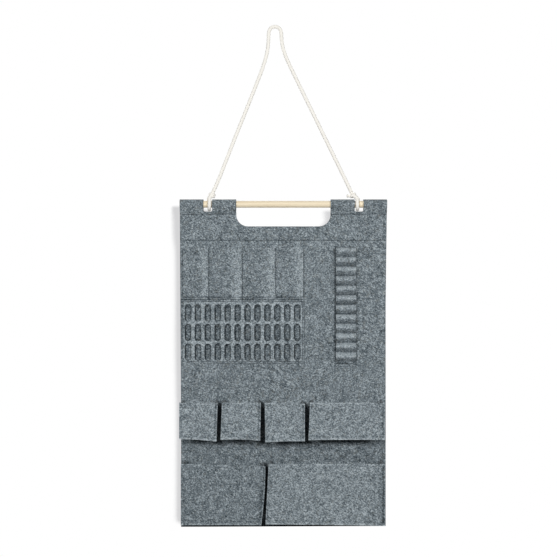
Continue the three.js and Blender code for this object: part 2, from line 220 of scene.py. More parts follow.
class Graph:
    """A node tree that is written as expressions."""

    def __init__(self, tree: bpy.types.NodeTree) -> None:
        """Take a tree and empty it."""
        self.tree = tree
        tree.nodes.clear()

    def add(
        self,
        kind: str,
        settings: Mapping[str, object] | None = None,
        sockets: Mapping[str | int, object] | None = None,
        output: str | int = 0,
    ) -> Term:
        """Add one node.

        Args:
            kind: The node's type.
            settings: Its properties, and stops for a ramp, set before its sockets.
            sockets: Values or terms for its inputs, by name or place.
            output: The output that is wanted.

        Returns:
            That output.
        """
        node = self.tree.nodes.new(kind)
        for key, value in (settings or {}).items():
            if key == "stops":
                self._set_stops(node.color_ramp, value)
            else:
                setattr(node, key, value)
        for key, value in (sockets or {}).items():
            if isinstance(value, Term):
                self.tree.links.new(value.socket, node.inputs[key])
            else:
                node.inputs[key].default_value = value
        return Term(self, node.outputs[output] if node.outputs else None)

    @staticmethod
    def _set_stops(ramp: bpy.types.ColorRamp, stops: Sequence[tuple[float, Colour]]) -> None:
        """Give a ramp its stops.

        Args:
            ramp: The ramp.
            stops: Positions and colours, from low to high.
        """
        for extra in range(len(stops) - len(ramp.elements)):
            ramp.elements.new((extra + 1) / len(stops))
        for element, (position, colour) in zip(ramp.elements, stops):
            element.position = position
            element.color = colour

    def mix(self, factor: Operand, low: "Term | Colour", high: "Term | Colour") -> Term:
        """Mix two colours by a factor."""
        settings = {"data_type": "RGBA", "clamp_factor": True}
        return self.add("ShaderNodeMix", settings, {0: factor, 6: low, 7: high}, output=2)

    def clamp(self, value: Term) -> Term:
        """A value kept from 0 to 1."""
        return self.add("ShaderNodeClamp", None, {"Value": value})

    def place(self) -> Term:
        """Object coordinates."""
        return self.add("ShaderNodeTexCoord", output="Object")

    def along(self, place: Term, axis: Axis) -> Term:
        """One of three coordinates."""
        return self.add("ShaderNodeSeparateXYZ", None, {"Vector": place}, output=axis.name)

    def ray(self, kind: str) -> Term:
        """1 for one kind of ray and 0 for all others."""
        return self.add("ShaderNodeLightPath", output=f"Is {kind} Ray")

    def attribute(self, name: str) -> Term:
        """A number that the mesh carries."""
        return self.add("ShaderNodeAttribute", {"attribute_name": name}, output="Fac")

    def noise(self, place: Term, scale: float, detail: float = 1.0) -> Term:
        """Plain noise, about 0.5 in the middle."""
        return self.add("ShaderNodeTexNoise", None, {"Vector": place, "Scale": scale, "Detail": detail})

    def flecks(self, place: Term, size: Point, degrees: Point = (0, 0, 0), detail: float = 1.0) -> Term:
        """Noise that is drawn out to a size in metres and turned."""
        sockets = {"Vector": place, "Rotation": [math.radians(angle) for angle in degrees], "Scale": size}
        return self.noise(self.add("ShaderNodeMapping", {"vector_type": "TEXTURE"}, sockets), 1.0, detail)

    def bump(self, strength: float, distance: float, height: Term) -> Term:
        """A normal that is tilted by a height."""
        sockets = {"Strength": strength, "Distance": distance, "Height": height}
        return self.add("ShaderNodeBump", None, sockets)

    def show(self, surface: Term) -> None:
        """Make a shader the material's surface."""
        self.add("ShaderNodeOutputMaterial", None, {"Surface": surface})


def new_material(name: str) -> tuple[Material, Graph]:
    """Make an empty material.

    Args:
        name: The material's name.

    Returns:
        The material and its graph.
    """
    material = bpy.data.materials.new(name)
    material.use_nodes = True
    return material, Graph(material.node_tree)


# Finishes

@dataclass(frozen=True)
class Finish:
    """What all finishes share: their own nodes under one Principled shader."""

    name: str

    def _surface(self, graph: Graph, place: Term) -> dict[str, object]:
        """What the shader's sockets hold, from Object coordinates."""
        raise NotImplementedError

    def material(self) -> Material:
        """Build the finish's nodes.

        Returns:
            The material.
        """
        material, graph = new_material(self.name)
        sockets = self._surface(graph, graph.place())
        graph.show(graph.add("ShaderNodeBsdfPrincipled", None, sockets))
        return material


@dataclass(frozen=True)
class FeltFinish(Finish):
    """Grey melange felt of two tones: paler where worn and where light is painted, darker along seams and in
    painted shade.
    """

    name: str = "felt"
    dark: Colour = srgb(42, 50, 55)
    middle: Colour = srgb(110, 120, 126)
    light: Colour = srgb(180, 190, 195)
    warm: Colour = srgb(114, 113, 104)
    fleck: Point = (0.0042, 0.0018, 0.0018)  # metres
    turns: tuple[tuple[float, Point], ...] = (  # shares of the flecks, and degrees that they are turned by
        (0.42, (0, 40, 0)),
        (0.34, (10, -10, 0)),
        (0.24, (0, 110, 10)),
    )
    cloud_scale: float = 70.0
    hair_scale: float = 1400.0
    tint_scale: float = 190.0
    tint_level: float = 0.54  # noise above this is tinted
    tint_strength: float = 1.5
    contrast: float = 3.1
    cloud_strength: float = 0.62
    hair_strength: float = 0.3
    level: float = 0.5  # share of light fibres
    # how much the worn attribute lifts the tone: worn felt, and painted light on faces turned to the lamps
    wear_and_painted_light_lift: float = 0.36
    # how much the sewn attribute lowers it: seams, set tones and painted shade; below 0 it is painted light
    seam_and_painted_shade_dip: float = 0.5
    back_depth: float = -0.0014  # behind this is the panel's other side, which gets no seams or painted shade
    back_fade: float = 2000.0  # how fast it turns plain, for each metre

    def _surface(self, graph: Graph, place: Term) -> dict[str, object]:
        """Mat flecks, clouds and hairs into one tone, and shift it: paler by worn felt and painted light,
        darker by seams and painted shade.

        Args:
            graph: The finish's nodes.
            place: Object coordinates.

        Returns:
            What the shader's sockets hold.
        """
        fibres = sum(graph.flecks(place, self.fleck, turn) * share for share, turn in self.turns) - 0.5
        cloud = graph.noise(place, self.cloud_scale, 3.0) - 0.5
        hair = graph.noise(place, self.hair_scale) - 0.5
        in_front = graph.clamp((self.back_depth - graph.along(place, Axis.Y)) * self.back_fade)
        tone = self.level + fibres * self.contrast + cloud * self.cloud_strength + hair * self.hair_strength
        # worn carries worn felt and painted light; sewn carries seams, set tones and painted shade, on the
        # front only
        tone += graph.attribute("worn") * self.wear_and_painted_light_lift
        tone -= graph.attribute("sewn") * in_front * self.seam_and_painted_shade_dip
        stops = [(0.0, self.dark), (0.5, self.middle), (1.0, self.light)]
        grey = graph.add("ShaderNodeValToRGB", {"stops": stops}, {"Fac": tone})
        warmth = (graph.noise(place, self.tint_scale) - self.tint_level) * self.tint_strength
        return {
            "Base Color": graph.mix(warmth, grey, self.warm),
            "Roughness": 1.0,
            "Specular IOR Level": 0.1,
            "Sheen Weight": 0.08,
            "Sheen Roughness": 0.6,
            "Normal": graph.bump(0.5, 0.0009, fibres + hair * 0.4),
        }


@dataclass(frozen=True)
class ThreadFinish(Finish):
    """Dark grey sewing thread."""

    name: str = "thread"
    dark: Colour = srgb(58, 64, 69)
    light: Colour = srgb(86, 93, 98)
    twist_scale: float = 1800.0

    def _surface(self, graph: Graph, place: Term) -> dict[str, object]:
        """Mix two greys by the thread's twist.

        Args:
            graph: The finish's nodes.
            place: Object coordinates.

        Returns:
            What the shader's sockets hold.
        """
        twist = graph.noise(place, self.twist_scale)
        return {
            "Base Color": graph.mix(twist, self.dark, self.light),
            "Roughness": 0.7,
            "Normal": graph.bump(0.4, 0.0002, twist),
        }


@dataclass(frozen=True)
class WoodFinish(Finish):
    """Pale sanded wood with its grain along the rod."""

    name: str = "wood"
    pale: Colour = srgb(240, 226, 198)
    grain: Colour = srgb(216, 193, 155)
    streak: Point = (0.12, 0.0016, 0.0016)
    pore: Point = (0.006, 0.0004, 0.0004)
    band: Point = (0.3, 0.012, 0.012)

    def _surface(self, graph: Graph, place: Term) -> dict[str, object]:
        """Lay streaks, pores and broad bands over each other along the rod.

        Args:
            graph: The finish's nodes.
            place: Object coordinates.

        Returns:
            What the shader's sockets hold.
        """
        streaks = graph.flecks(place, self.streak, detail=3.0)
        pores = graph.flecks(place, self.pore)
        bands = graph.flecks(place, self.band)
        tone = (streaks - 0.42) * 1.7 + (bands - 0.5) * 0.8 + (pores - 0.6) * 0.5
        return {
            "Base Color": graph.mix(tone, self.pale, self.grain),
            "Roughness": 0.5 + streaks * 0.2,
            "Specular IOR Level": 0.35,
            "Normal": graph.bump(0.25, 0.0003, streaks + pores * 0.5),
        }


@dataclass(frozen=True)
class CottonFinish(Finish):
    """Natural cotton, creamy and a little hairy."""

    name: str = "cotton"
    cream: Colour = srgb(248, 245, 238)
    shade: Colour = srgb(241, 237, 228)
    yarn: Point = (0.0009, 0.0009, 0.004)
    yarn_turn: Point = (0, 25, 0)
    fibre_scale: float = 2600.0

    def _surface(self, graph: Graph, place: Term) -> dict[str, object]:
        """Mix two creams by the yarn, with fine fibres on it.

        Args:
            graph: The finish's nodes.
            place: Object coordinates.

        Returns:
            What the shader's sockets hold.
        """
        yarn = graph.flecks(place, self.yarn, self.yarn_turn, 2.0)
        fibre = graph.noise(place, self.fibre_scale)
        return {
            "Base Color": graph.mix((yarn - 0.45) * 1.6, self.cream, self.shade),
            "Roughness": 0.95,
            "Specular IOR Level": 0.15,
            "Sheen Weight": 0.06,
            "Normal": graph.bump(0.05, 0.0004, yarn + fibre * 0.4),
        }


@dataclass
class Finishes:
    """The materials that the pieces share."""

    felt: Material = field(default_factory=FeltFinish().material)
    thread: Material = field(default_factory=ThreadFinish().material)
    wood: Material = field(default_factory=WoodFinish().material)
    cotton: Material = field(default_factory=CottonFinish().material)


# Meshes and objects

@dataclass(frozen=True)
class Corner:
    """A corner of a cut sheet, in X and Z, rounded or not."""

    x: float
    z: float
    radius: float = 0.0


def rectangle(left: float, right: float, foot: float, top: float) -> list[Corner]:
    """Corners of a plain strip."""
    return [Corner(left, top), Corner(left, foot), Corner(right, foot), Corner(right, top)]


def cut(bm: BMesh, corners: Sequence[Corner], arc_steps: int = 6) -> None:
    """Cut a flat sheet that faces the front.

    Args:
        bm: Where the sheet goes.
        corners: Its corners, anticlockwise as seen from the front.
        arc_steps: Steps in each rounded corner.
    """
    points = [bm.verts.new((corner.x, 0.0, corner.z)) for corner in corners]
    bm.faces.new(points)
    for radius in sorted({corner.radius for corner in corners if corner.radius}):
        bmesh.ops.bevel(
            bm,
            geom=[point for point, corner in zip(points, corners) if corner.radius == radius],
            offset=radius,
            offset_type="OFFSET",
            affect="VERTICES",
            segments=arc_steps,
            profile=0.5,
            material=-1,
        )


def score(bm: BMesh, axis: Axis, places: Iterable[float]) -> None:
    """Divide a sheet along straight lines.

    Args:
        bm: The sheet.
        axis: The direction that the lines are set out along.
        places: Where the lines are on it.
    """
    for place in places:
        bmesh.ops.bisect_plane(
            bm,
            geom=bm.verts[:] + bm.edges[:] + bm.faces[:],
            dist=0.001,
            plane_co=axis.value * place,
            plane_no=axis.value,
        )


def rim(bm: BMesh, widths: Sequence[float]) -> None:
    """Run lines along the edge of a sheet.

    Args:
        bm: The sheet.
        widths: How far each line is inside the one before it.
    """
    inner = bm.faces[:]
    for width in widths:
        bmesh.ops.inset_region(
            bm, faces=inner, thickness=width, depth=0.0, use_boundary=True, use_even_offset=True
        )


def link_mesh(bm: BMesh, name: str, material: Material) -> Piece:
    """Make an object of a mesh.

    Args:
        bm: The mesh. It is freed.
        name: The object's name.
        material: Its finish.

    Returns:
        The object, at the origin.
    """
    mesh = bpy.data.meshes.new(name)
    bm.to_mesh(mesh)
    bm.free()
    mesh.materials.append(material)
    piece = bpy.data.objects.new(name, mesh)
    bpy.context.scene.collection.objects.link(piece)
    return piece


def place_piece(
    bm: BMesh, name: str, material: Material, body: Body, node: str | None = None
) -> Piece:
    """Args:
        bm: The mesh, in millimetres. It is freed.
        name: The piece's name.
        material: Its finish.
        body: The body that it rides on.
        node: The solid that the piece replaces, if there is one.

    Returns:
        The piece, with its place in its mesh.
    """
    bm.transform(PLACE)
    piece = link_mesh(bm, name, material)
    piece.data.shade_smooth()
    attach(piece, body.value)
    if node:
        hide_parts(node)
    LOG.info("%s: %d faces", name, len(piece.data.polygons))
    return piece


# Sewing

@dataclass
class Stitches:
    """Rows of stitches that are sewn with one thread and kept as one piece."""

    name: str
    length: float = 2.9
    pitch: float = 3.7
    thread: float = 0.75
    rows: list[list[Vector]] = field(default_factory=list)

    def sew(self, points: Iterable[Vector]) -> None:
        """Add a row that follows points on the felt."""
        self.rows.append(list(points))

    def build(self, finishes: Finishes) -> Piece:
        """Make every stitch of every row.

        Args:
            finishes: The materials.

        Returns:
            The piece.
        """
        bm = bmesh.new()
        for row in self.rows:
            self._follow(bm, row)
        return place_piece(bm, self.name, finishes.thread, Body.ORGANIZER)

    def _follow(self, bm: BMesh, row: Sequence[Vector]) -> None:
        """Set stitches along one row.

        Args:
            bm: Where the stitches go.
            row: Points that they follow.
        """
        ahead = self.pitch / 2
        for start, end in zip(row, row[1:]):
            run = end - start
            while ahead < run.length:
                self._stitch(bm, start + run * (ahead / run.length), run)
                ahead += self.pitch
            ahead -= run.length

    def _stitch(self, bm: BMesh, middle: Vector, way: Vector) -> None:
        """Set one stitch.

        Args:
            bm: Where it goes.
            middle: Its middle.
            way: The direction of its row.
        """
        turn = way.to_track_quat("X", "Y").to_matrix().to_4x4()
        shape = Matrix.Diagonal((self.length / 2, self.thread / 2, self.thread / 2, 1.0))
        place = Matrix.Translation(middle) @ turn @ shape
        bmesh.ops.create_icosphere(bm, subdivisions=1, radius=1.0, matrix=place)


# Sheets of felt

@dataclass
class SheetFacts:
    """Facts of one sheet of felt."""

    node: str
    flat: tuple[float, float]  # millimetres
    held: Held
    rests_on: str
    area: float | None = None  # square millimetres, where the cut isn't a rectangle


class FeltSheet:
    """What all sheets share: each is cut flat, scored, given its tones with painted light and shade, bent
    and made thick.
    """

    def _cut(self, bm: BMesh) -> None:
        """Cut the flat sheet."""
        raise NotImplementedError

    def _score(self, bm: BMesh) -> None:
        """Divide the sheet where its shape or its tone changes."""
        raise NotImplementedError

    def _facts(self, area: float) -> SheetFacts:
        """Facts of the sheet, from the area of its cut."""
        raise NotImplementedError

    def _dark(self, point: Vector, at_edge: bool) -> float:
        """How dark the flat sheet is at a point, which may be on its cut edge: seams, set tone and painted
        shade.
        """
        raise NotImplementedError

    def _pale(self, point: Vector, at_edge: bool) -> float:
        """How pale the flat sheet is at a point, which may be on its cut edge: worn felt and painted light.
        """
        return 0.0

    def _shape(self, point: Vector) -> Vector:
        """Where a point of the flat sheet goes."""
        raise NotImplementedError

    @staticmethod
    def _thicken(piece: Piece) -> None:
        """Give a sheet its thickness and its rounded cut edges.

        Args:
            piece: The sheet's good side.
        """
        thick = piece.modifiers.new("thickness", "SOLIDIFY")
        thick.thickness = FELT * MM
        thick.offset = -1.0
        edge = piece.modifiers.new("cut edge", "BEVEL")
        edge.width = EDGE_ROUND * MM
        edge.segments = 2
        edge.limit_method = "ANGLE"
        edge.angle_limit = math.radians(EDGE_ANGLE)
        edge.harden_normals = True

    def build(self, finishes: Finishes) -> Piece:
        """Args:
            finishes: The materials.

        Returns:
            The piece.
        """
        bm = bmesh.new()
        self._cut(bm)
        facts = self._facts(sum(face.calc_area() for face in bm.faces))
        self._score(bm)
        # worn holds worn felt and painted light; sewn holds seams, set tones and painted shade
        worn = bm.verts.layers.float.new("worn")
        sewn = bm.verts.layers.float.new("sewn")
        for vertex in bm.verts:
            point = vertex.co.copy()
            vertex[worn] = self._pale(point, vertex.is_boundary)
            vertex[sewn] = self._dark(point, vertex.is_boundary)
            vertex.co = self._shape(point)
        name = f"{facts.node}_felt"
        piece = place_piece(bm, name, finishes.felt, Body.ORGANIZER, facts.node)
        self._thicken(piece)
        facts.flat[0] * MM
        facts.flat[1] * MM
        None if facts.area is None else facts.area * MM * MM
        return piece


class SewnSheet(FeltSheet):
    """A sheet that is sewn on the panel and stands off it between its seams."""

    def rise(self, x: float, z: float) -> float:
        """How far the sheet stands off the panel at a place."""
        raise NotImplementedError

    def _seam(self, point: Vector) -> float:
        """1 where a seam presses the sheet in, 0 away from it."""
        return 0.0

    def _rows(self) -> list[tuple[Spot, Spot, int]]:
        """Both ends of each row of stitches, and the steps in which it follows the felt."""
        raise NotImplementedError

    def _on(self, x: float, z: float, sink: float) -> Vector:
        """A place on the sheet's face, or sunk into it."""
        return Vector((x, SEWN_FRONT - self.rise(x, z) + sink + hang_wave(x, z), z))

    def _shape(self, point: Vector) -> Vector:
        """Raise the sheet, and press it in along its seams."""
        return self._on(point.x, point.z, SEAM_DIP * self._seam(point))

    def sew(self, stitches: Stitches) -> None:
        """Sew the sheet down."""
        for first, last, steps in self._rows():
            stitches.sew(self._on(x, z, STITCH_SINK) for x, z in spots(first, last, steps))


# Pieces of the organizer

@dataclass
class NeedlePockets(SewnSheet):
    """One strip of felt that is sewn down in four bulging pockets."""

    left: float = PANEL_LEFT + 0.5
    mouth: float = -96.4
    length: float = 112.0
    flat_width: float = 280.0  # before the strip is gathered into pockets
    widths: tuple[float, ...] = (60.5, 73.5, 73.5, 60.5)
    bulge: float = 9.0
    crest: float = 0.6  # where a pocket stands out most, as a share of its width
    taper: float = 1.6
    land: float = 2.0  # flat felt at each seam
    seam_inset: float = 3.0  # of the seams along the ends and the foot
    seam_width: float = 1.2
    columns: int = 14
    rows: int = 14
    end_shade: float = 0.8  # painted shade on the cut edge of the foot and of the right end
    mouth_wear_and_highlight: float = 0.2  # worn felt with a painted highlight, on the cut edge of the mouth
    turn_painted_light: float = 0.5  # painted light where a pocket turns back to its seam, on the flank that faces the lamps
    last_turn_painted_light: float = 0.62  # the same at the strip's right end
    turn_width: float = 0.25  # how far that painted light reaches, as a share of the pocket's width
    seam_fade: float = 0.04  # how far before the seam the painted light ends, as such a share

    def __post_init__(self) -> None:
        """Work out where the seams are."""
        self.seams = [self.left + sum(self.widths[:count]) for count in range(len(self.widths) + 1)]
        self.foot = self.mouth - self.length

    def _pocket(self, x: float) -> tuple[int, float]:
        """The pocket at a place, and how far right of the pocket's left seam the place is."""
        index = min(len(self.widths) - 1, max(0, sum(seam <= x for seam in self.seams) - 1))
        return index, x - self.seams[index]

    def rise(self, x: float, z: float) -> float:
        """How far a pocket stands off the panel, most at its mouth.

        Args:
            x: Place across the panel.
            z: Height.

        Returns:
            That distance.
        """
        index, along = self._pocket(x)
        across = (along - self.land / 2) / (self.widths[index] - self.land)
        fade = math.cos(math.pi / 2 * ((self.mouth - z) / self.length) ** self.taper)
        return self.bulge * hump(across, self.crest) * max(0.0, fade)

    def _seam(self, point: Vector) -> float:
        """How far a point is in a seam between two pockets, at the left end or along the foot.

        Args:
            point: A point of the flat strip.

        Returns:
            1 on a seam, 0 away from it.
        """
        off = [point.x - seam for seam in self.seams[1:-1]]
        off += [point.x - self.left - self.seam_inset, point.z - self.foot - self.seam_inset]
        return near(min(abs(distance) for distance in off), self.seam_width)

    def _dark(self, point: Vector, at_edge: bool) -> float:
        """How dark the flat strip is: at its seams, and with painted shade along its foot and its right end.
        """
        at_end = point.z < self.foot + CLOSE or point.x > self.seams[-1] - CLOSE
        return self.end_shade if at_edge and at_end else self._seam(point)

    def _pale(self, point: Vector, at_edge: bool) -> float:
        """How pale the flat strip is: worn with a painted highlight at its mouth, and painted light where
        each pocket turns back to its seam.

        Args:
            point: A point of the flat strip.
            at_edge: Whether it is on the cut edge.

        Returns:
            How pale it is.
        """
        if at_edge:
            return self.mouth_wear_and_highlight if point.z > self.mouth - CLOSE else 0.0
        index, along = self._pocket(point.x)
        across = along / self.widths[index]
        turning = ease((across - self.crest) / self.turn_width)
        if index == len(self.widths) - 1:
            return self.last_turn_painted_light * turning
        return self.turn_painted_light * turning * ease((1 - across) / self.seam_fade)

    def _cut(self, bm: BMesh) -> None:
        """Cut a plain strip."""
        cut(bm, rectangle(self.left, self.seams[-1], self.foot, self.mouth))

    def _score(self, bm: BMesh) -> None:
        """Divide the strip across each pocket, beside each seam and down its length.

        Args:
            bm: The strip.
        """
        rim(bm, [1.8, 1.2, 1.2])
        for seam, width in zip(self.seams, self.widths):
            score(bm, Axis.X, evenly(seam + self.land / 2, seam + width - self.land / 2, self.columns))
        for seam in self.seams[1:-1]:
            score(bm, Axis.X, evenly(seam - self.seam_width, seam + self.seam_width, 2))
        score(bm, Axis.Z, evenly(self.foot, self.mouth, self.rows)[1:-1])

    def _facts(self, area: float) -> SheetFacts:
        """A strip that is gathered on the panel."""
        return SheetFacts("needle_pocket_strip", (self.flat_width, self.length), Held.GATHERED, "back_panel")

    def _rows(self) -> list[tuple[Spot, Spot, int]]:
        """Rows between the pockets, at both ends and along the foot.

        Returns:
            Both ends of each row, and its steps.
        """
        low = self.foot + self.seam_inset
        columns = [self.left + self.seam_inset, *self.seams[1:-1], self.seams[-1] - self.seam_inset]
        rows = [((x, self.mouth - 1), (x, low), 20) for x in columns]
        return [*rows, ((columns[0], low), (columns[-1], low), 60)]


@dataclass
class SlotPanel(SewnSheet):
    """The slotted panel: a sheet with three rows of round-ended slots, sewn down all round."""

    left: float = PANEL_LEFT + 0.5
    top: float = -210.0
    columns: int = 12
    rows: int = 3
    slot_width: float = 13.2
    slot_height: float = 36.7
    column_bar: float = 8.6
    row_bar: float = 6.4
    side_margin: float = 8.7
    top_margin: float = 10.6
    bottom_margin: float = 6.3
    bulge: float = 6.0
    seam_inset: float = 3.6
    seam_width: float = 1.0
    rim_width: float = 1.05  # of the painted shade round each slot
    rim_shade: float = 1.5
    rim_lean: float = 0.9  # how much darker that painted shade is on a slot's left, and paler on its right
    shade_width: float = 2.8  # of the painted shade along each slot's sides, on what is behind it
    # how much paler the bars are: worn felt, and painted light on these raised bars
    bar_wear_and_light: float = 0.42
    pale_start: float = 1.0  # from the outer edge in to where the paler tone starts
    pale_width: float = 6.0  # from there in to where it is full
    grid_rows: int = 22

    def __post_init__(self) -> None:
        """Work out the sheet's outline."""
        across = self.columns * self.slot_width + (self.columns - 1) * self.column_bar
        down = self.rows * self.slot_height + (self.rows - 1) * self.row_bar
        self.width = 2 * self.side_margin + across
        self.height = self.top_margin + down + self.bottom_margin
        self.right = self.left + self.width
        self.foot = self.top - self.height

    def slot_sides(self) -> list[tuple[float, float]]:
        """Left and right side of each slot in a row.

        Returns:
            Both places across the panel, from the leftmost slot on.
        """
        first = self.left + self.side_margin
        step = self.slot_width + self.column_bar
        lefts = [first + step * column for column in range(self.columns)]
        return [(left, left + self.slot_width) for left in lefts]

    def _row_middle(self, row: int) -> float:
        """Height of the middle of a row of slots."""
        return self.top - self.top_margin - row * (self.slot_height + self.row_bar) - self.slot_height / 2

    def _row_line(self, row: int, half: float) -> list[Corner]:
        """The sheet's line through a row, round one end of each slot.

        Args:
            row: The row.
            half: From the row's middle to the slots' ends, above 0 for the upper ends.

        Returns:
            Corners of the line from left to right.
        """
        radius = 0.499 * self.slot_width
        middle = self._row_middle(row)
        line = [Corner(self.left, middle)]
        for left, right in self.slot_sides():
            line += [Corner(left, middle), Corner(left, middle + half, radius)]
            line += [Corner(right, middle + half, radius), Corner(right, middle)]
        return [*line, Corner(self.right, middle)]

    def _cut(self, bm: BMesh) -> None:
        """Cut the sheet in bands between the middles of its rows, and join them.

        Args:
            bm: Where the sheet goes.
        """
        half = self.slot_height / 2
        upper = [Corner(self.left, self.top), Corner(self.right, self.top)]
        for row in range(self.rows):
            cut(bm, [*reversed(upper), *self._row_line(row, half)], arc_steps=5)
            upper = self._row_line(row, -half)
        foot = [Corner(self.left, self.foot), Corner(self.right, self.foot)]
        cut(bm, [*reversed(upper), *foot], arc_steps=5)
        bmesh.ops.remove_doubles(bm, verts=bm.verts[:], dist=0.02)

    def inside(self, x: float, z: float) -> float:
        """How far a place is inside the sheet's outer edge, below 0 outside it."""
        return min(x - self.left, self.right - x, self.top - z, z - self.foot)

    def slot_edge(self, x: float, z: float) -> tuple[float, float]:
        """How a place lies to its nearest slot.

        Args:
            x: Place across the panel.
            z: Height.

        Returns:
            How far it is outside the slot, and how far to the slot's right, where its right side is 1.
        """
        aside = min((x - (left + right) / 2 for left, right in self.slot_sides()), key=abs)
        off = min(abs(z - self._row_middle(row)) for row in range(self.rows))
        straight = (self.slot_height - self.slot_width) / 2
        away = math.hypot(aside, max(0.0, off - straight))
        return away - self.slot_width / 2, 2 * aside / self.slot_width

    def rise(self, x: float, z: float) -> float:
        """How far the sheet stands off the panel, most in its middle.

        Args:
            x: Place across the panel.
            z: Height.

        Returns:
            That distance.
        """
        across = max(0.0, math.sin(math.pi * (x - self.left) / self.width))
        down = max(0.0, math.sin(math.pi * (self.top - z) / self.height))
        return self.bulge * math.sqrt(across) * down

    def _seam(self, point: Vector) -> float:
        """1 on the seam that runs round the sheet, 0 away from it."""
        return near(self.inside(point.x, point.z) - self.seam_inset, self.seam_width)

    def _dark(self, point: Vector, at_edge: bool) -> float:
        """How dark the flat sheet is: at its seam, and with painted shade round each slot, most on the
        slot's left.

        Args:
            point: A point of the flat sheet.
            at_edge: Whether it is on the cut edge; not used.

        Returns:
            How dark it is.
        """
        away, aside = self.slot_edge(point.x, point.z)
        slot_painted_shade = (self.rim_shade - self.rim_lean * aside) * max(0.0, 1 - away / self.rim_width)
        return max(self._seam(point), slot_painted_shade)

    def _pale(self, point: Vector, at_edge: bool) -> float:
        """How pale the flat sheet is: worn felt and painted light on its bars, less towards its outer edge.
        """
        depth = self.inside(point.x, point.z) - self.pale_start
        return 0.0 if at_edge else self.bar_wear_and_light * ease(depth / self.pale_width)

    def _score(self, bm: BMesh) -> None:
        """Divide the sheet beside its seam, through its slots and bars, and down its length.

        Args:
            bm: The sheet.
        """
        rim(bm, [0.9, 0.8])
        for inset in evenly(self.seam_inset - self.seam_width, self.seam_inset + self.seam_width, 2):
            score(bm, Axis.X, (self.left + inset, self.right - inset))
            score(bm, Axis.Z, (self.foot + inset, self.top - inset))
        score(bm, Axis.X, [(left + right) / 2 for left, right in self.slot_sides()])
        score(bm, Axis.X, [right + self.column_bar / 2 for _, right in self.slot_sides()])
        score(bm, Axis.Z, evenly(self.foot, self.top, self.grid_rows)[1:-1])

    def _facts(self, area: float) -> SheetFacts:
        """A sheet that is laid on the panel."""
        return SheetFacts("slot_panel", (self.width, self.height), Held.LAID, "back_panel", area)

    def _rows(self) -> list[tuple[Spot, Spot, int]]:
        """One row along each edge.

        Returns:
            Both ends of each row, and its steps.
        """
        left, right = self.left + self.seam_inset, self.right - self.seam_inset
        foot, top = self.foot + self.seam_inset, self.top - self.seam_inset
        corners = [(left, top), (left, foot), (right, foot), (right, top), (left, top)]
        return [(first, last, 30) for first, last in zip(corners, corners[1:])]


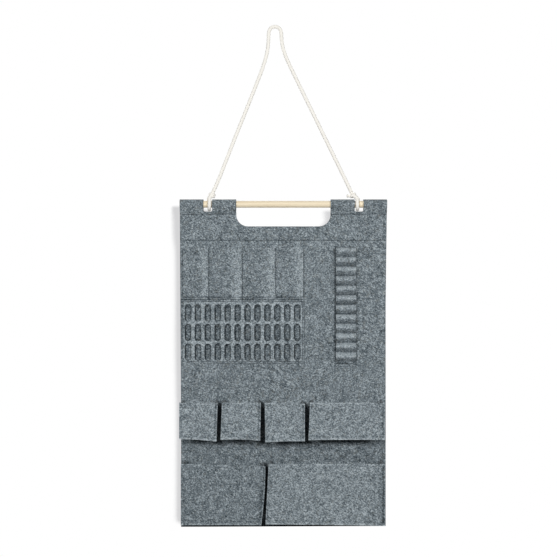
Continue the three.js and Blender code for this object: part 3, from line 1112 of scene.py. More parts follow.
@dataclass
class HookLoops(SewnSheet):
    """A strip of felt that is sewn down in twelve loops for hooks."""

    middle: float = 137.45
    width: float = 44.4
    top: float = -91.5
    count: int = 12
    pitch: float = 21.0
    clearance: float = 7.5
    crest: float = 0.36  # where a loop stands out most, as a share of its length
    land: float = 1.6  # flat felt between two loops
    head: float = 2.4  # flat felt above the first loop
    tail: float = 1.8  # flat felt below the last loop
    rows: int = 14
    columns: int = 8
    seed: int = 5
    edge_shade: float = 0.9  # painted shade on the left cut edge, by the loops' open ends
    # painted shade on the land between two loops
    land_shade: float = 0.6
    under_shade: float = 0.2  # painted shade below each crest, on a loop's lower side
    under_start: float = 0.5  # where it starts, as a share of the loop's length
    under_reach: float = 0.4  # from there down to where it is full, as such a share
    upper_painted_light: float = 0.65  # painted light on the upper side of each loop, which faces the lamps
    pale_start: float = 0.06  # where it is full, as such a share
    pale_end: float = 0.72
    pale_fade: float = 0.36  # how far before that end it starts to fade

    def __post_init__(self) -> None:
        """Work out the strip's edges and how full each loop is."""
        self.left = self.middle - self.width / 2
        self.right = self.middle + self.width / 2
        self.first = self.top - self.head
        self.foot = self.first - self.count * self.pitch - self.tail
        chance = random.Random(self.seed)
        self.fullness = [chance.uniform(0.9, 1.08) for _ in range(self.count)]
        self.slants = [chance.uniform(-0.12, 0.12) for _ in range(self.count)]

    def _down(self, z: float) -> tuple[int, float]:
        """Find the loop at a height.

        Args:
            z: The height.

        Returns:
            The loop, and how far down it the height is, from 0 to 1; 0 on the land between two.
        """
        loop = min(self.count - 1, max(0, int((self.first - z) / self.pitch)))
        down = (self.first - loop * self.pitch - self.land / 2 - z) / (self.pitch - self.land)
        return loop, down if 0 < down < 1 else 0.0

    def rise(self, x: float, z: float) -> float:
        """How far a loop stands off the panel.

        Args:
            x: Place across the panel.
            z: Height.

        Returns:
            That distance.
        """
        loop, down = self._down(z)
        full = self.fullness[loop] + self.slants[loop] * (x - self.middle) / self.width
        return self.clearance * full * hump(down, self.crest)

    def _dark(self, point: Vector, at_edge: bool) -> float:
        """How dark the flat strip is: painted shade at its left edge, between its loops and below each
        crest.

        Args:
            point: A point of the flat strip.
            at_edge: Whether it is on the cut edge.

        Returns:
            How dark it is.
        """
        if at_edge and point.x < self.middle:
            return self.edge_shade
        _, down = self._down(point.z)
        if down == 0 and self.foot + self.tail + CLOSE < point.z < self.first - CLOSE:
            return self.land_shade
        return self.under_shade * held((down - self.under_start) / self.under_reach)

    def _pale(self, point: Vector, at_edge: bool) -> float:
        """How pale the flat strip is: painted light on the upper side of each loop."""
        _, down = self._down(point.z)
        return self.upper_painted_light * ease(down / self.pale_start) * ease((self.pale_end - down) / self.pale_fade)

    def _cut(self, bm: BMesh) -> None:
        """Cut a plain strip."""
        cut(bm, rectangle(self.left, self.right, self.foot, self.top))

    def _score(self, bm: BMesh) -> None:
        """Divide the strip down each loop and across its width.

        Args:
            bm: The strip.
        """
        rim(bm, [1.1])
        for loop in range(self.count):
            start = self.first - loop * self.pitch - self.land / 2
            score(bm, Axis.Z, evenly(start, start - self.pitch + self.land, self.rows))
        score(bm, Axis.X, evenly(self.left, self.right, self.columns)[1:-1])

    def _facts(self, area: float) -> SheetFacts:
        """A strip that is gathered on the panel, as long as its way round the loops.

        Args:
            area: The area that the strip covers, which says nothing of its length; not used.

        Returns:
            Its facts.
        """
        line = [Vector((self.rise(self.middle, z), z)) for z in evenly(self.top, self.foot, 600)]
        length = sum((after - before).length for before, after in zip(line, line[1:]))
        return SheetFacts("hook_loop_strip", (self.width, length), Held.GATHERED, "back_panel")

    def _rows(self) -> list[tuple[Spot, Spot, int]]:
        """One row above, between and below the loops."""
        heights = [self.first - self.pitch * loop for loop in range(self.count + 1)]
        return [((self.left + 1, z), (self.right - 1, z), 6) for z in heights]


@dataclass
class BackPanel(FeltSheet):
    """The long sheet that is folded over the dowel, with its hand-hold and two notches."""

    hem_half: float = 228.0
    flare_drops: tuple[float, float] = (500.0, 220.0)  # where the hem's width ends on the left and right
    sleeve_inner: float = 7.8
    sleeve_outer: float = 10.8
    hem_stitch_drop: float = 22.0
    flap_stitch_drop: float = 79.4
    flap_drop: float = 84.0
    handle_half: float = 104.0
    handle_drop: float = 48.8
    handle_radius: float = 26.0
    notch_inner: float = 156.6
    notch_outer: float = 176.2
    notch_drop: float = 17.2
    notch_radius: float = 4.0
    seam_width: float = 1.3
    seam_dip: float = 0.55
    stitch_sink: float = 0.45
    foot_drops: tuple[float, float] = (3.9, 2.0)  # how far its left and right lower corners have stretched
    fold_reach: float = 45.0  # from the top of the fold to where the sheet is divided less finely
    fold_rows: int = 36
    flap_rows: int = 6
    rows: int = 70
    columns: int = 52
    slot_shade: float = 0.9  # painted shade along the sides of the slots in front of it
    slot_lean: float = 0.3  # how much darker that is on a slot's left, and paler on its right
    # the least painted shade behind the slotted panel
    slot_least: float = 0.2
    slot_fade: float = 6.0  # from the slotted panel's outer edge in to where these shades are full
    strip_shade: float = 0.4  # painted shade beside the needle pockets' right end
    strip_shade_at: float = 1.0  # how far to the right of that end it is darkest
    strip_shade_width: float = 3.0
    gap_shade_width: float = 5.0  # of the painted shade between the needle pockets and the slotted panel
    loop_shade: float = 0.7  # painted shade along the left of the hook loops
    loop_shade_width: float = 4.0
    # painted shade low on the panel, below the middle pockets
    low_shade: float = 0.1
    low_start: float = -480.0  # the height where it starts
    low_width: float = 30.0
    # painted shade along the foot, under the bottom pockets
    foot_shade: float = 1.1
    foot_shade_width: float = 8.0
    edge_shade: float = 0.3  # painted shade on the cut edge
    # what is sewn on it
    needles: NeedlePockets = field(default_factory=NeedlePockets)
    slots: SlotPanel = field(default_factory=SlotPanel)
    loops: HookLoops = field(default_factory=HookLoops)

    def __post_init__(self) -> None:
        """Work out the fold's profile and the sheet's ends."""
        self.lean = math.asin(self.sleeve_inner / self.hem_stitch_drop)
        self.round_length = self.sleeve_outer * (math.pi / 2 + self.lean)
        self.round_end = Vector((math.cos(self.lean), -math.sin(self.lean))) * self.sleeve_outer
        self.bend_drop = self.hem_stitch_drop + FELT * math.tan(self.lean / 2)
        self.flank = Vector((-PANEL_FRONT, -self.bend_drop)) - self.round_end
        self.left_foot, self.right_foot = (self.pattern(PANEL_FOOT - drop) for drop in self.foot_drops)
        self.flap = self.pattern(-self.flap_drop)

    def pattern(self, z: float) -> float:
        """Find a height on the flat sheet.

        Args:
            z: The height, which isn't on the round part of the fold.

        Returns:
            Distance down the sheet from the top of the fold.
        """
        if z > -self.bend_drop:
            return self.round_length + self.flank.length * (z - self.round_end.y) / self.flank.y
        return self.round_length + self.flank.length - z - self.bend_drop

    def profile(self, along: float) -> Vector:
        """Where a point of the sheet is, seen from the side.

        Args:
            along: Distance down the sheet from the top of the fold.

        Returns:
            Its distance from the middle plane and its height.
        """
        if along < self.round_length:
            angle = math.pi / 2 - along / self.sleeve_outer
            return Vector((math.cos(angle), math.sin(angle))) * self.sleeve_outer
        if along < self.round_length + self.flank.length:
            return self.round_end + self.flank * ((along - self.round_length) / self.flank.length)
        return Vector((-PANEL_FRONT, self.round_length + self.flank.length - along - self.bend_drop))

    def _openings(self, side: int) -> list[Corner]:
        """The hem's line on one side of the fold, with its three cut-outs.

        Args:
            side: -1 in front of the dowel, 1 behind it.

        Returns:
            Corners of the line from right to left.
        """
        notch = (self.notch_drop, self.notch_radius)
        cuts = (
            (self.notch_outer, self.notch_inner, *notch),
            (self.handle_half, -self.handle_half, self.handle_drop, self.handle_radius),
            (-self.notch_inner, -self.notch_outer, *notch),
        )
        line = [Corner(self.hem_half, 0.0)]
        for right, left, drop, radius in cuts:
            floor = side * self.pattern(-drop)
            line += [Corner(right, 0.0), Corner(right, floor, radius)]
            line += [Corner(left, floor, radius), Corner(left, 0.0)]
        return [*line, Corner(-self.hem_half, 0.0)]

    def _seam(self, point: Vector) -> float:
        """How far a point is in the flap's seam, or in the sleeve's beside the hand-hold.

        Args:
            point: A point of the flat sheet.

        Returns:
            1 on a seam, 0 away from it.
        """
        along = abs(point.z)
        off = abs(along - self.pattern(-self.flap_stitch_drop))
        if abs(point.x) > self.handle_half:
            off = min(off, abs(along - self.pattern(-self.hem_stitch_drop)))
        return near(off, self.seam_width)

    def _beside(self, x: float, z: float) -> list[float]:
        """Painted shade that the sewn pieces leave on the panel behind and beside them.

        Args:
            x: Place across the panel.
            z: Height.

        Returns:
            How dark each makes the place.
        """
        away, aside = self.slots.slot_edge(x, z)
        at_side = (self.slot_shade - self.slot_lean * aside) * near(away, self.slots.shade_width)
        shades = [max(self.slot_least, at_side) * ease(self.slots.inside(x, z) / self.slot_fade)]
        end = self.needles.seams[-1]
        if self.needles.foot < z < self.needles.mouth:
            shades.append(self.strip_shade * near(x - end - self.strip_shade_at, self.strip_shade_width))
        if self.slots.left < x < end:
            shades.append(near(z - (self.needles.foot + self.slots.top) / 2, self.gap_shade_width))
        if self.loops.foot < z < self.loops.top:
            shades.append(self.loop_shade * near(x - self.loops.left, self.loop_shade_width))
        return shades

    def _dark(self, point: Vector, at_edge: bool) -> float:
        """How dark the flat sheet is: at its seams, and with painted shade at its edges, by sewn pieces, low
        and at the foot.

        Args:
            point: A point of the flat sheet.
            at_edge: Whether it is on the cut edge.

        Returns:
            How dark it is.
        """
        if point.z > 0:
            return self._seam(point)
        height = self.profile(-point.z).y
        low = self.low_shade * ease((self.low_start - height) / self.low_width)
        foot_start = PANEL_FOOT + self.foot_shade_width
        at_foot = self.foot_shade * ease((foot_start - height) / self.foot_shade_width)
        cut_edge = self.edge_shade if at_edge else 0.0
        return max(self._seam(point), low, at_foot, cut_edge, *self._beside(point.x, height))

    def _shape(self, point: Vector) -> Vector:
        """Fold the flat sheet over the dowel.

        Args:
            point: A point of the flat sheet.

        Returns:
            Where it goes.
        """
        side = -1 if point.z < 0 else 1
        out, height = self.profile(abs(point.z))
        out -= self.seam_dip * self._seam(point)
        return Vector((point.x, side * out + hang_wave(point.x, height), height))

    def _cut(self, bm: BMesh) -> None:
        """Cut the front and the flap behind, and join them along the fold.

        Args:
            bm: Where the sheet goes.
        """
        left_flare, right_flare = (-self.pattern(-drop) for drop in self.flare_drops)
        front = [
            Corner(PANEL_LEFT, left_flare),
            Corner(PANEL_LEFT, -self.left_foot),
            Corner(PANEL_RIGHT, -self.right_foot),
            Corner(PANEL_RIGHT, right_flare),
        ]
        cut(bm, [*front, *self._openings(-1)])
        flap_half = self.hem_half - (self.hem_half - PANEL_RIGHT) * self.flap_drop / self.flare_drops[1]
        behind = [Corner(flap_half, self.flap), Corner(-flap_half, self.flap)]
        cut(bm, [*behind, *reversed(self._openings(1))])
        bmesh.ops.remove_doubles(bm, verts=bm.verts[:], dist=0.01)

    def _score(self, bm: BMesh) -> None:
        """Divide the sheet evenly, finely round the fold, and where seams and painted shades lie.

        Args:
            bm: The sheet.
        """
        rim(bm, [1.8])
        score(bm, Axis.X, evenly(PANEL_LEFT, PANEL_RIGHT, self.columns)[1:-1])
        score(bm, Axis.Z, evenly(-self.fold_reach, self.fold_reach, self.fold_rows))
        score(bm, Axis.Z, evenly(-self.left_foot, -self.fold_reach, self.rows)[1:-1])
        score(bm, Axis.Z, evenly(self.fold_reach, self.flap, self.flap_rows)[1:-1])
        for drop in (self.hem_stitch_drop, self.flap_stitch_drop):
            seam = self.pattern(-drop)
            for line in evenly(seam - self.seam_width, seam + self.seam_width, 2):
                score(bm, Axis.Z, (-line, line))
        strip = self.needles.seams[-1] + self.strip_shade_at
        score(bm, Axis.X, evenly(strip - self.strip_shade_width, strip + self.strip_shade_width, 2))
        loops, width = self.loops.left, self.loop_shade_width
        score(bm, Axis.X, evenly(loops - width, loops + width, 2))
        shade, just_inside = self.slots.shade_width, 0.2
        for left, right in self.slots.slot_sides():
            score(bm, Axis.X, (left + just_inside, left + shade, right - shade, right - just_inside))
        gap = -self.pattern(self.slots.top)
        score(bm, Axis.Z, evenly(gap - self.gap_shade_width, gap + self.gap_shade_width, 2))

    def _facts(self, area: float) -> SheetFacts:
        """A sheet that hangs on the dowel."""
        flat = (2 * self.hem_half, self.left_foot + self.flap)
        return SheetFacts("back_panel", flat, Held.HUNG, "dowel", area)

    def sew(self, stitches: Stitches) -> None:
        """Sew the sleeve shut beside the hand-hold, and the flap down all across.

        Args:
            stitches: Where the rows go.
        """
        inset = 4.0
        first, last = self.handle_half + inset, self.hem_half - inset
        rows = [
            (self.hem_stitch_drop, -first, -last),
            (self.flap_stitch_drop, PANEL_LEFT, PANEL_RIGHT),
            (self.hem_stitch_drop, first, last),
        ]
        for drop, start, end in rows:
            out = self.profile(self.pattern(-drop)).x - self.stitch_sink
            for y in (-out, out):
                stitches.sew(Vector((x, y + hang_wave(x, -drop), -drop)) for x in evenly(start, end, 40))


@dataclass
class BoxPocket:
    """An open pocket: a front sewn to a strip that makes its sides and its bottom."""

    name: str
    left: float
    right: float
    foot: float
    height: float
    left_lean: float = 0.0
    right_lean: float = 0.0
    droop: tuple[float, float] = (0.0, 0.0)  # how far the left and right lower corners hang down
    dip: tuple[float, float] = (0.0, 0.0)  # how far the left and right upper corners hang down
    arch: float = 1.2  # how far the middle of the foot is drawn up
    belly: float = 0.0  # how far the right side swells halfway down
    shade: float = -0.16  # how much darker this front is; the default, below 0, is painted light that makes fronts paler
    end_shade: float = 0.0  # painted shade: how much darker it is towards its right end
    end_width: float = 45.0
    depth: float = 50.0
    ridge: float = 3.0  # from the front's edge in to the gusset
    gusset_radius: float = 4.0
    seam_inset: float = 3.6
    seam_width: float = 1.1
    bow: float = 1.6

    def __post_init__(self) -> None:
        """Work out the mouth."""
        self.mouth = self.foot + self.height

    def outline(self, inset: float, radius: float = 0.0) -> list[Corner]:
        """The pocket seen from the front.

        Args:
            inset: How far it is drawn in at its sides and foot.
            radius: How far its lower corners are rounded.

        Returns:
            Its corners, from the left of the mouth round to the right.
        """
        foot = self.foot + inset
        return [
            Corner(self.left + inset, self.mouth),
            Corner(self.left - self.left_lean + inset, foot, radius),
            Corner(self.right - self.right_lean - inset, foot, radius),
            Corner(self.right - inset, self.mouth),
        ]

    def inside(self, point: Vector) -> tuple[float, float, float]:
        """Measure a point from the pocket's edges.

        Args:
            point: A point of the flat front, or of the strip behind it.

        Returns:
            Its distances from the left side, the right side and the foot.
        """
        down = (self.mouth - point.z) / self.height
        left = point.x - self.left + self.left_lean * down
        right = self.right - self.right_lean * down - point.x
        return left, right, point.z - self.foot

    def across(self, point: Vector) -> float:
        """How far to the right a point is, from 0 at the left side to 1 at the right."""
        left, right, _ = self.inside(point)
        return held(left / (left + right))

    def sag(self, point: Vector) -> Vector:
        """How the hung felt has moved at a point.

        Args:
            point: A point of the front or of the strip behind it.

        Returns:
            The move: out with the right side's belly, with the panel's wave, and down.
        """
        across = self.across(point)
        up = held((point.z - self.foot) / self.height)
        low = self.droop[0] + (self.droop[1] - self.droop[0]) * across
        low -= self.arch * math.sin(math.pi * across)
        high = self.dip[0] + (self.dip[1] - self.dip[0]) * across
        swell = 4 * self.belly * (up - up * up) * across
        return Vector((swell, hang_wave(point.x, point.z), -low - (high - low) * up))

    def build(self, finishes: Finishes) -> list[Piece]:
        """Make the pocket's two pieces."""
        return [PocketFront(self).build(finishes), PocketGusset(self).build(finishes)]

    def sew(self, stitches: Stitches) -> None:
        """Sew the front to its strip."""
        PocketFront(self).sew(stitches)


@dataclass
class PocketFront(FeltSheet):
    """The front of a box pocket."""

    box: BoxPocket
    grid: float = 8.0  # about how far apart its lines are
    left_shade: float = 0.3  # in the seam along its left side
    right_shade: float = 1.0
    foot_shade: float = 0.4
    side_wear_and_highlight: float = 1.0  # worn felt with a painted highlight, on its cut sides
    end_wear_and_highlight: float = 0.4  # the same on the cut foot and mouth
    uneven: float = 0.5
    seam_dip: float = 0.6

    def __post_init__(self) -> None:
        """Work out how wide the front is, and where its face is."""
        self.low = min(self.box.left, self.box.left - self.box.left_lean)
        self.high = max(self.box.right, self.box.right - self.box.right_lean)
        self.face = SEWN_BACK - self.box.depth - GAP - FELT

    def _seam(self, point: Vector) -> float:
        """1 on the seam round the front, 0 away from it."""
        return near(min(self.box.inside(point)) - self.box.seam_inset, self.box.seam_width)

    def _dark(self, point: Vector, at_edge: bool) -> float:
        """How dark the flat front is: its set tone, along its seam, most on the right, and painted shade
        towards its right end.

        Args:
            point: A point of the flat front.
            at_edge: Whether it is on the cut edge; not used.

        Returns:
            How dark it is.
        """
        left, right, up = self.box.inside(point)
        seam_shade = self.left_shade if left < right else self.right_shade
        if up < min(left, right):
            seam_shade = self.foot_shade
        end_shade = self.box.end_shade * ease((self.box.end_width - right) / self.box.end_width)
        return self.box.shade + self._seam(point) * seam_shade + end_shade

    def _pale(self, point: Vector, at_edge: bool) -> float:
        """How pale the flat front is: worn with a painted highlight along its cut sides, less at its foot
        and mouth.

        Args:
            point: A point of the flat front.
            at_edge: Whether it is on the cut edge.

        Returns:
            How pale it is.
        """
        if not at_edge:
            return 0.0
        left, right, _ = self.box.inside(point)
        return self.side_wear_and_highlight if min(left, right) < CLOSE else self.end_wear_and_highlight

    def _shape(self, point: Vector) -> Vector:
        """Bow the front out, press it in along its seam and let it sag.

        Args:
            point: A point of the flat front.

        Returns:
            Where it goes.
        """
        up = (point.z - self.box.foot) / self.box.height
        stand = self.box.bow * math.sin(math.pi * self.box.across(point)) * (0.35 + 0.65 * ease(up))
        stand += self.uneven * noise.noise(point * 0.022) - self.seam_dip * self._seam(point)
        return Vector((point.x, self.face - stand, point.z)) + self.box.sag(point)

    def _cut(self, bm: BMesh) -> None:
        """Cut the pocket's outline."""
        cut(bm, self.box.outline(0.0))

    def _score(self, bm: BMesh) -> None:
        """Divide the front beside its seam, and evenly across and down.

        Args:
            bm: The front.
        """
        rim(bm, [1.5, 1.0, 1.1, 1.1])
        for axis, first, last in ((Axis.X, self.low, self.high), (Axis.Z, self.box.foot, self.box.mouth)):
            score(bm, axis, evenly(first, last, round((last - first) / self.grid))[1:-1])

    def _facts(self, area: float) -> SheetFacts:
        """A sheet that hangs on its strip."""
        name, flat = self.box.name, (self.high - self.low, self.box.height)
        return SheetFacts(f"{name}_front", flat, Held.HUNG, f"{name}_gusset")

    def sew(self, stitches: Stitches) -> None:
        """Sew down one side, along the foot and up the other side.

        Args:
            stitches: Where the rows go.
        """
        sink = Vector((0.0, STITCH_SINK, 0.0))
        corners = [(corner.x, corner.z) for corner in self.box.outline(self.box.seam_inset)]
        for first, last in zip(corners, corners[1:]):
            line = spots(first, last, 24)
            stitches.sew(self._shape(Vector((x, 0.0, z))) + sink for x, z in line)


@dataclass
class PocketGusset(FeltSheet):
    """The strip that makes the sides and the bottom of a box pocket."""

    box: BoxPocket
    edge: float = 1.6  # from the strip's edges to its first line
    pull: float = 1.3  # how far its sides are drawn in
    pull_start: float = 20.0  # from the mouth up to where that would start
    pull_reach: float = 60.0  # from there down to where it is full
    lift: float = 0.8  # how far its bottom is drawn up
    lift_start: float = 12.0  # from the foot up to where that starts
    lift_reach: float = 10.0  # from there down to where it is full
    # painted shade all over, which darkens the slits between the pockets
    shade: float = 0.35

    def __post_init__(self) -> None:
        """Work out where the strip meets the front. Its length is measured when it is cut."""
        self.front = SEWN_BACK - self.box.depth
        self.length = 0.0

    def _cut(self, bm: BMesh) -> None:
        """Run the strip down one side, along the foot and up the other side.

        Args:
            bm: Where the strip goes.
        """
        cut(bm, self.box.outline(self.box.ridge, self.box.gusset_radius), arc_steps=4)
        below = self.box.mouth - CLOSE
        edges = [edge for edge in bm.edges if any(vertex.co.z < below for vertex in edge.verts)]
        self.length = sum(edge.calc_length() for edge in edges)
        made = bmesh.ops.extrude_edge_only(bm, edges=edges)["geom"]
        flat = [face for face in bm.faces if abs(face.normal.y) > 0.9]
        bmesh.ops.delete(bm, geom=flat, context="FACES_ONLY")
        bmesh.ops.delete(bm, geom=[edge for edge in bm.edges if not edge.link_faces], context="EDGES")
        outer = [item for item in made if isinstance(item, bmesh.types.BMVert)]
        bmesh.ops.translate(bm, vec=(0, -self.box.depth, 0), verts=outer)
        bmesh.ops.translate(bm, vec=(0, SEWN_BACK, 0), verts=bm.verts[:])

    def _score(self, bm: BMesh) -> None:
        """Divide the strip across and along, and turn its good side out.

        Args:
            bm: The strip.
        """
        foot, mouth, left, right = self.box.foot, self.box.mouth, self.box.left, self.box.right
        depths = evenly(self.front, SEWN_BACK, 7)[1:-1]
        score(bm, Axis.Y, [self.front + self.edge, *depths, SEWN_BACK - self.edge])
        score(bm, Axis.Z, [*evenly(foot + 8, mouth, 9)[:-1], mouth - self.edge])
        score(bm, Axis.X, evenly(left, right, round((right - left) / 10))[1:-1])
        bmesh.ops.recalc_face_normals(bm, faces=bm.faces[:])
        if sum(face.normal.z * face.calc_area() for face in bm.faces) > 0:
            bmesh.ops.reverse_faces(bm, faces=bm.faces[:])

    def _dark(self, point: Vector, at_edge: bool) -> float:
        """Painted shade all over the strip."""
        return self.shade

    def _shape(self, point: Vector) -> Vector:
        """Draw the strip in between the panel and the front, and let it sag.

        Args:
            point: A point of the straight strip.

        Returns:
            Where it goes.
        """
        share = math.sin(math.pi * held((SEWN_BACK - point.y) / self.box.depth))
        aside = point.x - (self.box.left + self.box.right) / 2
        near_side = ease(abs(aside) / (self.box.right - self.box.left) * 4 - 1)
        below = self.box.mouth - point.z + self.pull_start
        pull = self.pull * share * ease(below / self.pull_reach) * near_side
        lift = self.lift * share * ease((self.box.foot + self.lift_start - point.z) / self.lift_reach)
        drawn = Vector((pull if aside < 0 else -pull, 0.0, lift))
        return point + drawn + self.box.sag(point)

    def _facts(self, area: float) -> SheetFacts:
        """A strip that is folded round the pocket."""
        flat = (self.box.depth, self.length)
        return SheetFacts(f"{self.box.name}_gusset", flat, Held.FOLDED, "back_panel")


def box_pockets() -> list[BoxPocket]:
    """Set out the box pockets.

    Returns:
        The four pockets of the middle row and the two of the bottom row, from the left.
    """
    foot, height = PANEL_FOOT + 198.2, 77.3
    middle = [
        BoxPocket("middle_pocket_1", -224.5, -141.7, foot, height, 0.0, 2.6, droop=(-1.8, 3.7)),
        BoxPocket("middle_pocket_2", -132.4, -48.9, foot, height, 3.2, 1.2, droop=(0.0, 2.2), arch=2.0),
        BoxPocket("middle_pocket_3", -40.5, 46.1, foot, height, -1.5, 0.2, droop=(5.4, 3.2), dip=(0.0, 2.5)),
        BoxPocket("middle_pocket_4", 57.2, 218.4, foot, height, 3.4, 0.0, droop=(0.6, 0.0), arch=0.5),
    ]
    foot, height = PANEL_FOOT + 14.6, 129.0
    bottom = [
        # the left front is set darker; the right one has painted shade towards its right end
        BoxPocket(
            "bottom_pocket_left", -221.0, -39.0, foot, height, 0.0, 9.3,
            dip=(0.0, 4.5), arch=0.4, belly=2.3, shade=0.06,
        ),
        BoxPocket(
            "bottom_pocket_right", -32.0, 219.0, foot, height, 6.7, 0.0,
            droop=(-1.6, 1.8), arch=0.8, end_shade=0.2,
        ),
    ]
    return middle + bottom


# Dowel and cord

@dataclass
class DowelRod:
    """The round wooden rod in the hem."""

    radius: float = 7.5
    half_length: float = 225.0
    chamfer: float = 1.0
    sides: int = 64
    rings: int = 24

    def build(self, finishes: Finishes) -> Piece:
        """Turn the rod and ease its ends.

        Args:
            finishes: The materials.

        Returns:
            The piece.
        """
        bm = bmesh.new()
        bmesh.ops.create_cone(
            bm,
            cap_ends=True,
            segments=self.sides,
            radius1=self.radius,
            radius2=self.radius,
            depth=2 * self.half_length,
            matrix=Matrix.Rotation(math.pi / 2, 4, "Y"),
        )
        ends = [edge for edge in bm.edges if abs(edge.verts[0].co.x - edge.verts[1].co.x) < 0.01]
        bmesh.ops.bevel(
            bm,
            geom=ends,
            offset=self.chamfer,
            offset_type="OFFSET",
            affect="EDGES",
            segments=3,
            profile=0.5,
            material=-1,
        )
        score(bm, Axis.X, evenly(-self.half_length + 5, self.half_length - 5, self.rings))
        piece = place_piece(bm, "dowel_rod", finishes.wood, Body.DOWEL, "dowel")
        piece.data.set_sharp_from_angle(angle=math.radians(40))
        return piece


def smooth_line(points: Sequence[Vector], step: float) -> list[Vector]:
    """Run one smooth line through points.

    Args:
        points: What the line passes through.
        step: About how far apart the line's own points are.

    Returns:
        The line's points.
    """
    padded = [2 * points[0] - points[1], *points, 2 * points[-1] - points[-2]]
    line = []
    for before, start, end, after in zip(padded, padded[1:], padded[2:], padded[3:]):
        count = max(1, round((end - start).length / step))
        for share in (index / count for index in range(count)):
            line.append(0.5 * (
                2 * start
                + (end - before) * share
                + (2 * before - 5 * start + 4 * end - after) * share**2
                + (3 * start - before - 3 * end + after) * share**3
            ))
    return [*line, points[-1].copy()]


@dataclass
class Rope:
    """Three-strand cotton rope."""

    radius: float = 4.0
    pitch: float = 26.0  # length of one turn of the strands
    groove: float = 0.04  # how deep the strands part, as a share of the radius
    strands: int = 3
    sides: int = 24

    def lay(self, bm: BMesh, line: Sequence[Vector]) -> None:
        """Lay the rope along a line, closed at both ends.

        Args:
            bm: Where the rope goes.
            line: Points down its middle.
        """
        ring = bmesh.ops.create_circle(bm, cap_ends=True, segments=self.sides, radius=1.0)["verts"]
        section = [self._section(index) for index in range(self.sides)]
        tangent = (line[1] - line[0]).normalized()
        across = tangent.orthogonal().normalized()
        along = 0.0
        for index, middle in enumerate(line):
            if index:
                along += (middle - line[index - 1]).length
                ring = self._next_ring(bm, ring)
            ahead = (line[min(index + 1, len(line) - 1)] - line[max(index - 1, 0)]).normalized()
            across = (tangent.rotation_difference(ahead) @ across).normalized()
            tangent = ahead
            aside = tangent.cross(across)
            turn = 2 * math.pi * along / self.pitch
            for point, (angle, radius) in zip(ring, section):
                way = across * math.cos(angle + turn) + aside * math.sin(angle + turn)
                point.co = middle + radius * way
        bm.faces.new(ring)

    def _section(self, index: int) -> tuple[float, float]:
        """One point of the rope's section.

        Args:
            index: Which point.

        Returns:
            Its angle and radius.
        """
        angle = 2 * math.pi * index / self.sides
        lobe = abs(math.sin(self.strands * angle / 2))
        return angle, self.radius * (1 - self.groove * lobe**2)

    @staticmethod
    def _next_ring(bm: BMesh, ring: Sequence[bmesh.types.BMVert]) -> list[bmesh.types.BMVert]:
        """Extrude a ring.

        Args:
            bm: The rope.
            ring: Its last ring.

        Returns:
            The new ring in the same order.
        """
        edges = [bm.edges.get((ring[index - 1], ring[index])) for index in range(len(ring))]
        made = set(bmesh.ops.extrude_edge_only(bm, edges=edges)["geom"])
        ahead = [[edge.other_vert(point) for edge in point.link_edges] for point in ring]
        return [next(other for other in others if other in made) for others in ahead]


def tie_piece(bm: BMesh, node: str, finishes: Finishes) -> Piece:
    """Make a piece of cord that has been laid.

    Args:
        bm: The cord. It is freed.
        node: The solid that it replaces.
        finishes: The materials.

    Returns:
        The piece.
    """
    bmesh.ops.recalc_face_normals(bm, faces=bm.faces[:])
    return place_piece(bm, f"{node}_rope", finishes.cotton, Body.HANGER, node)


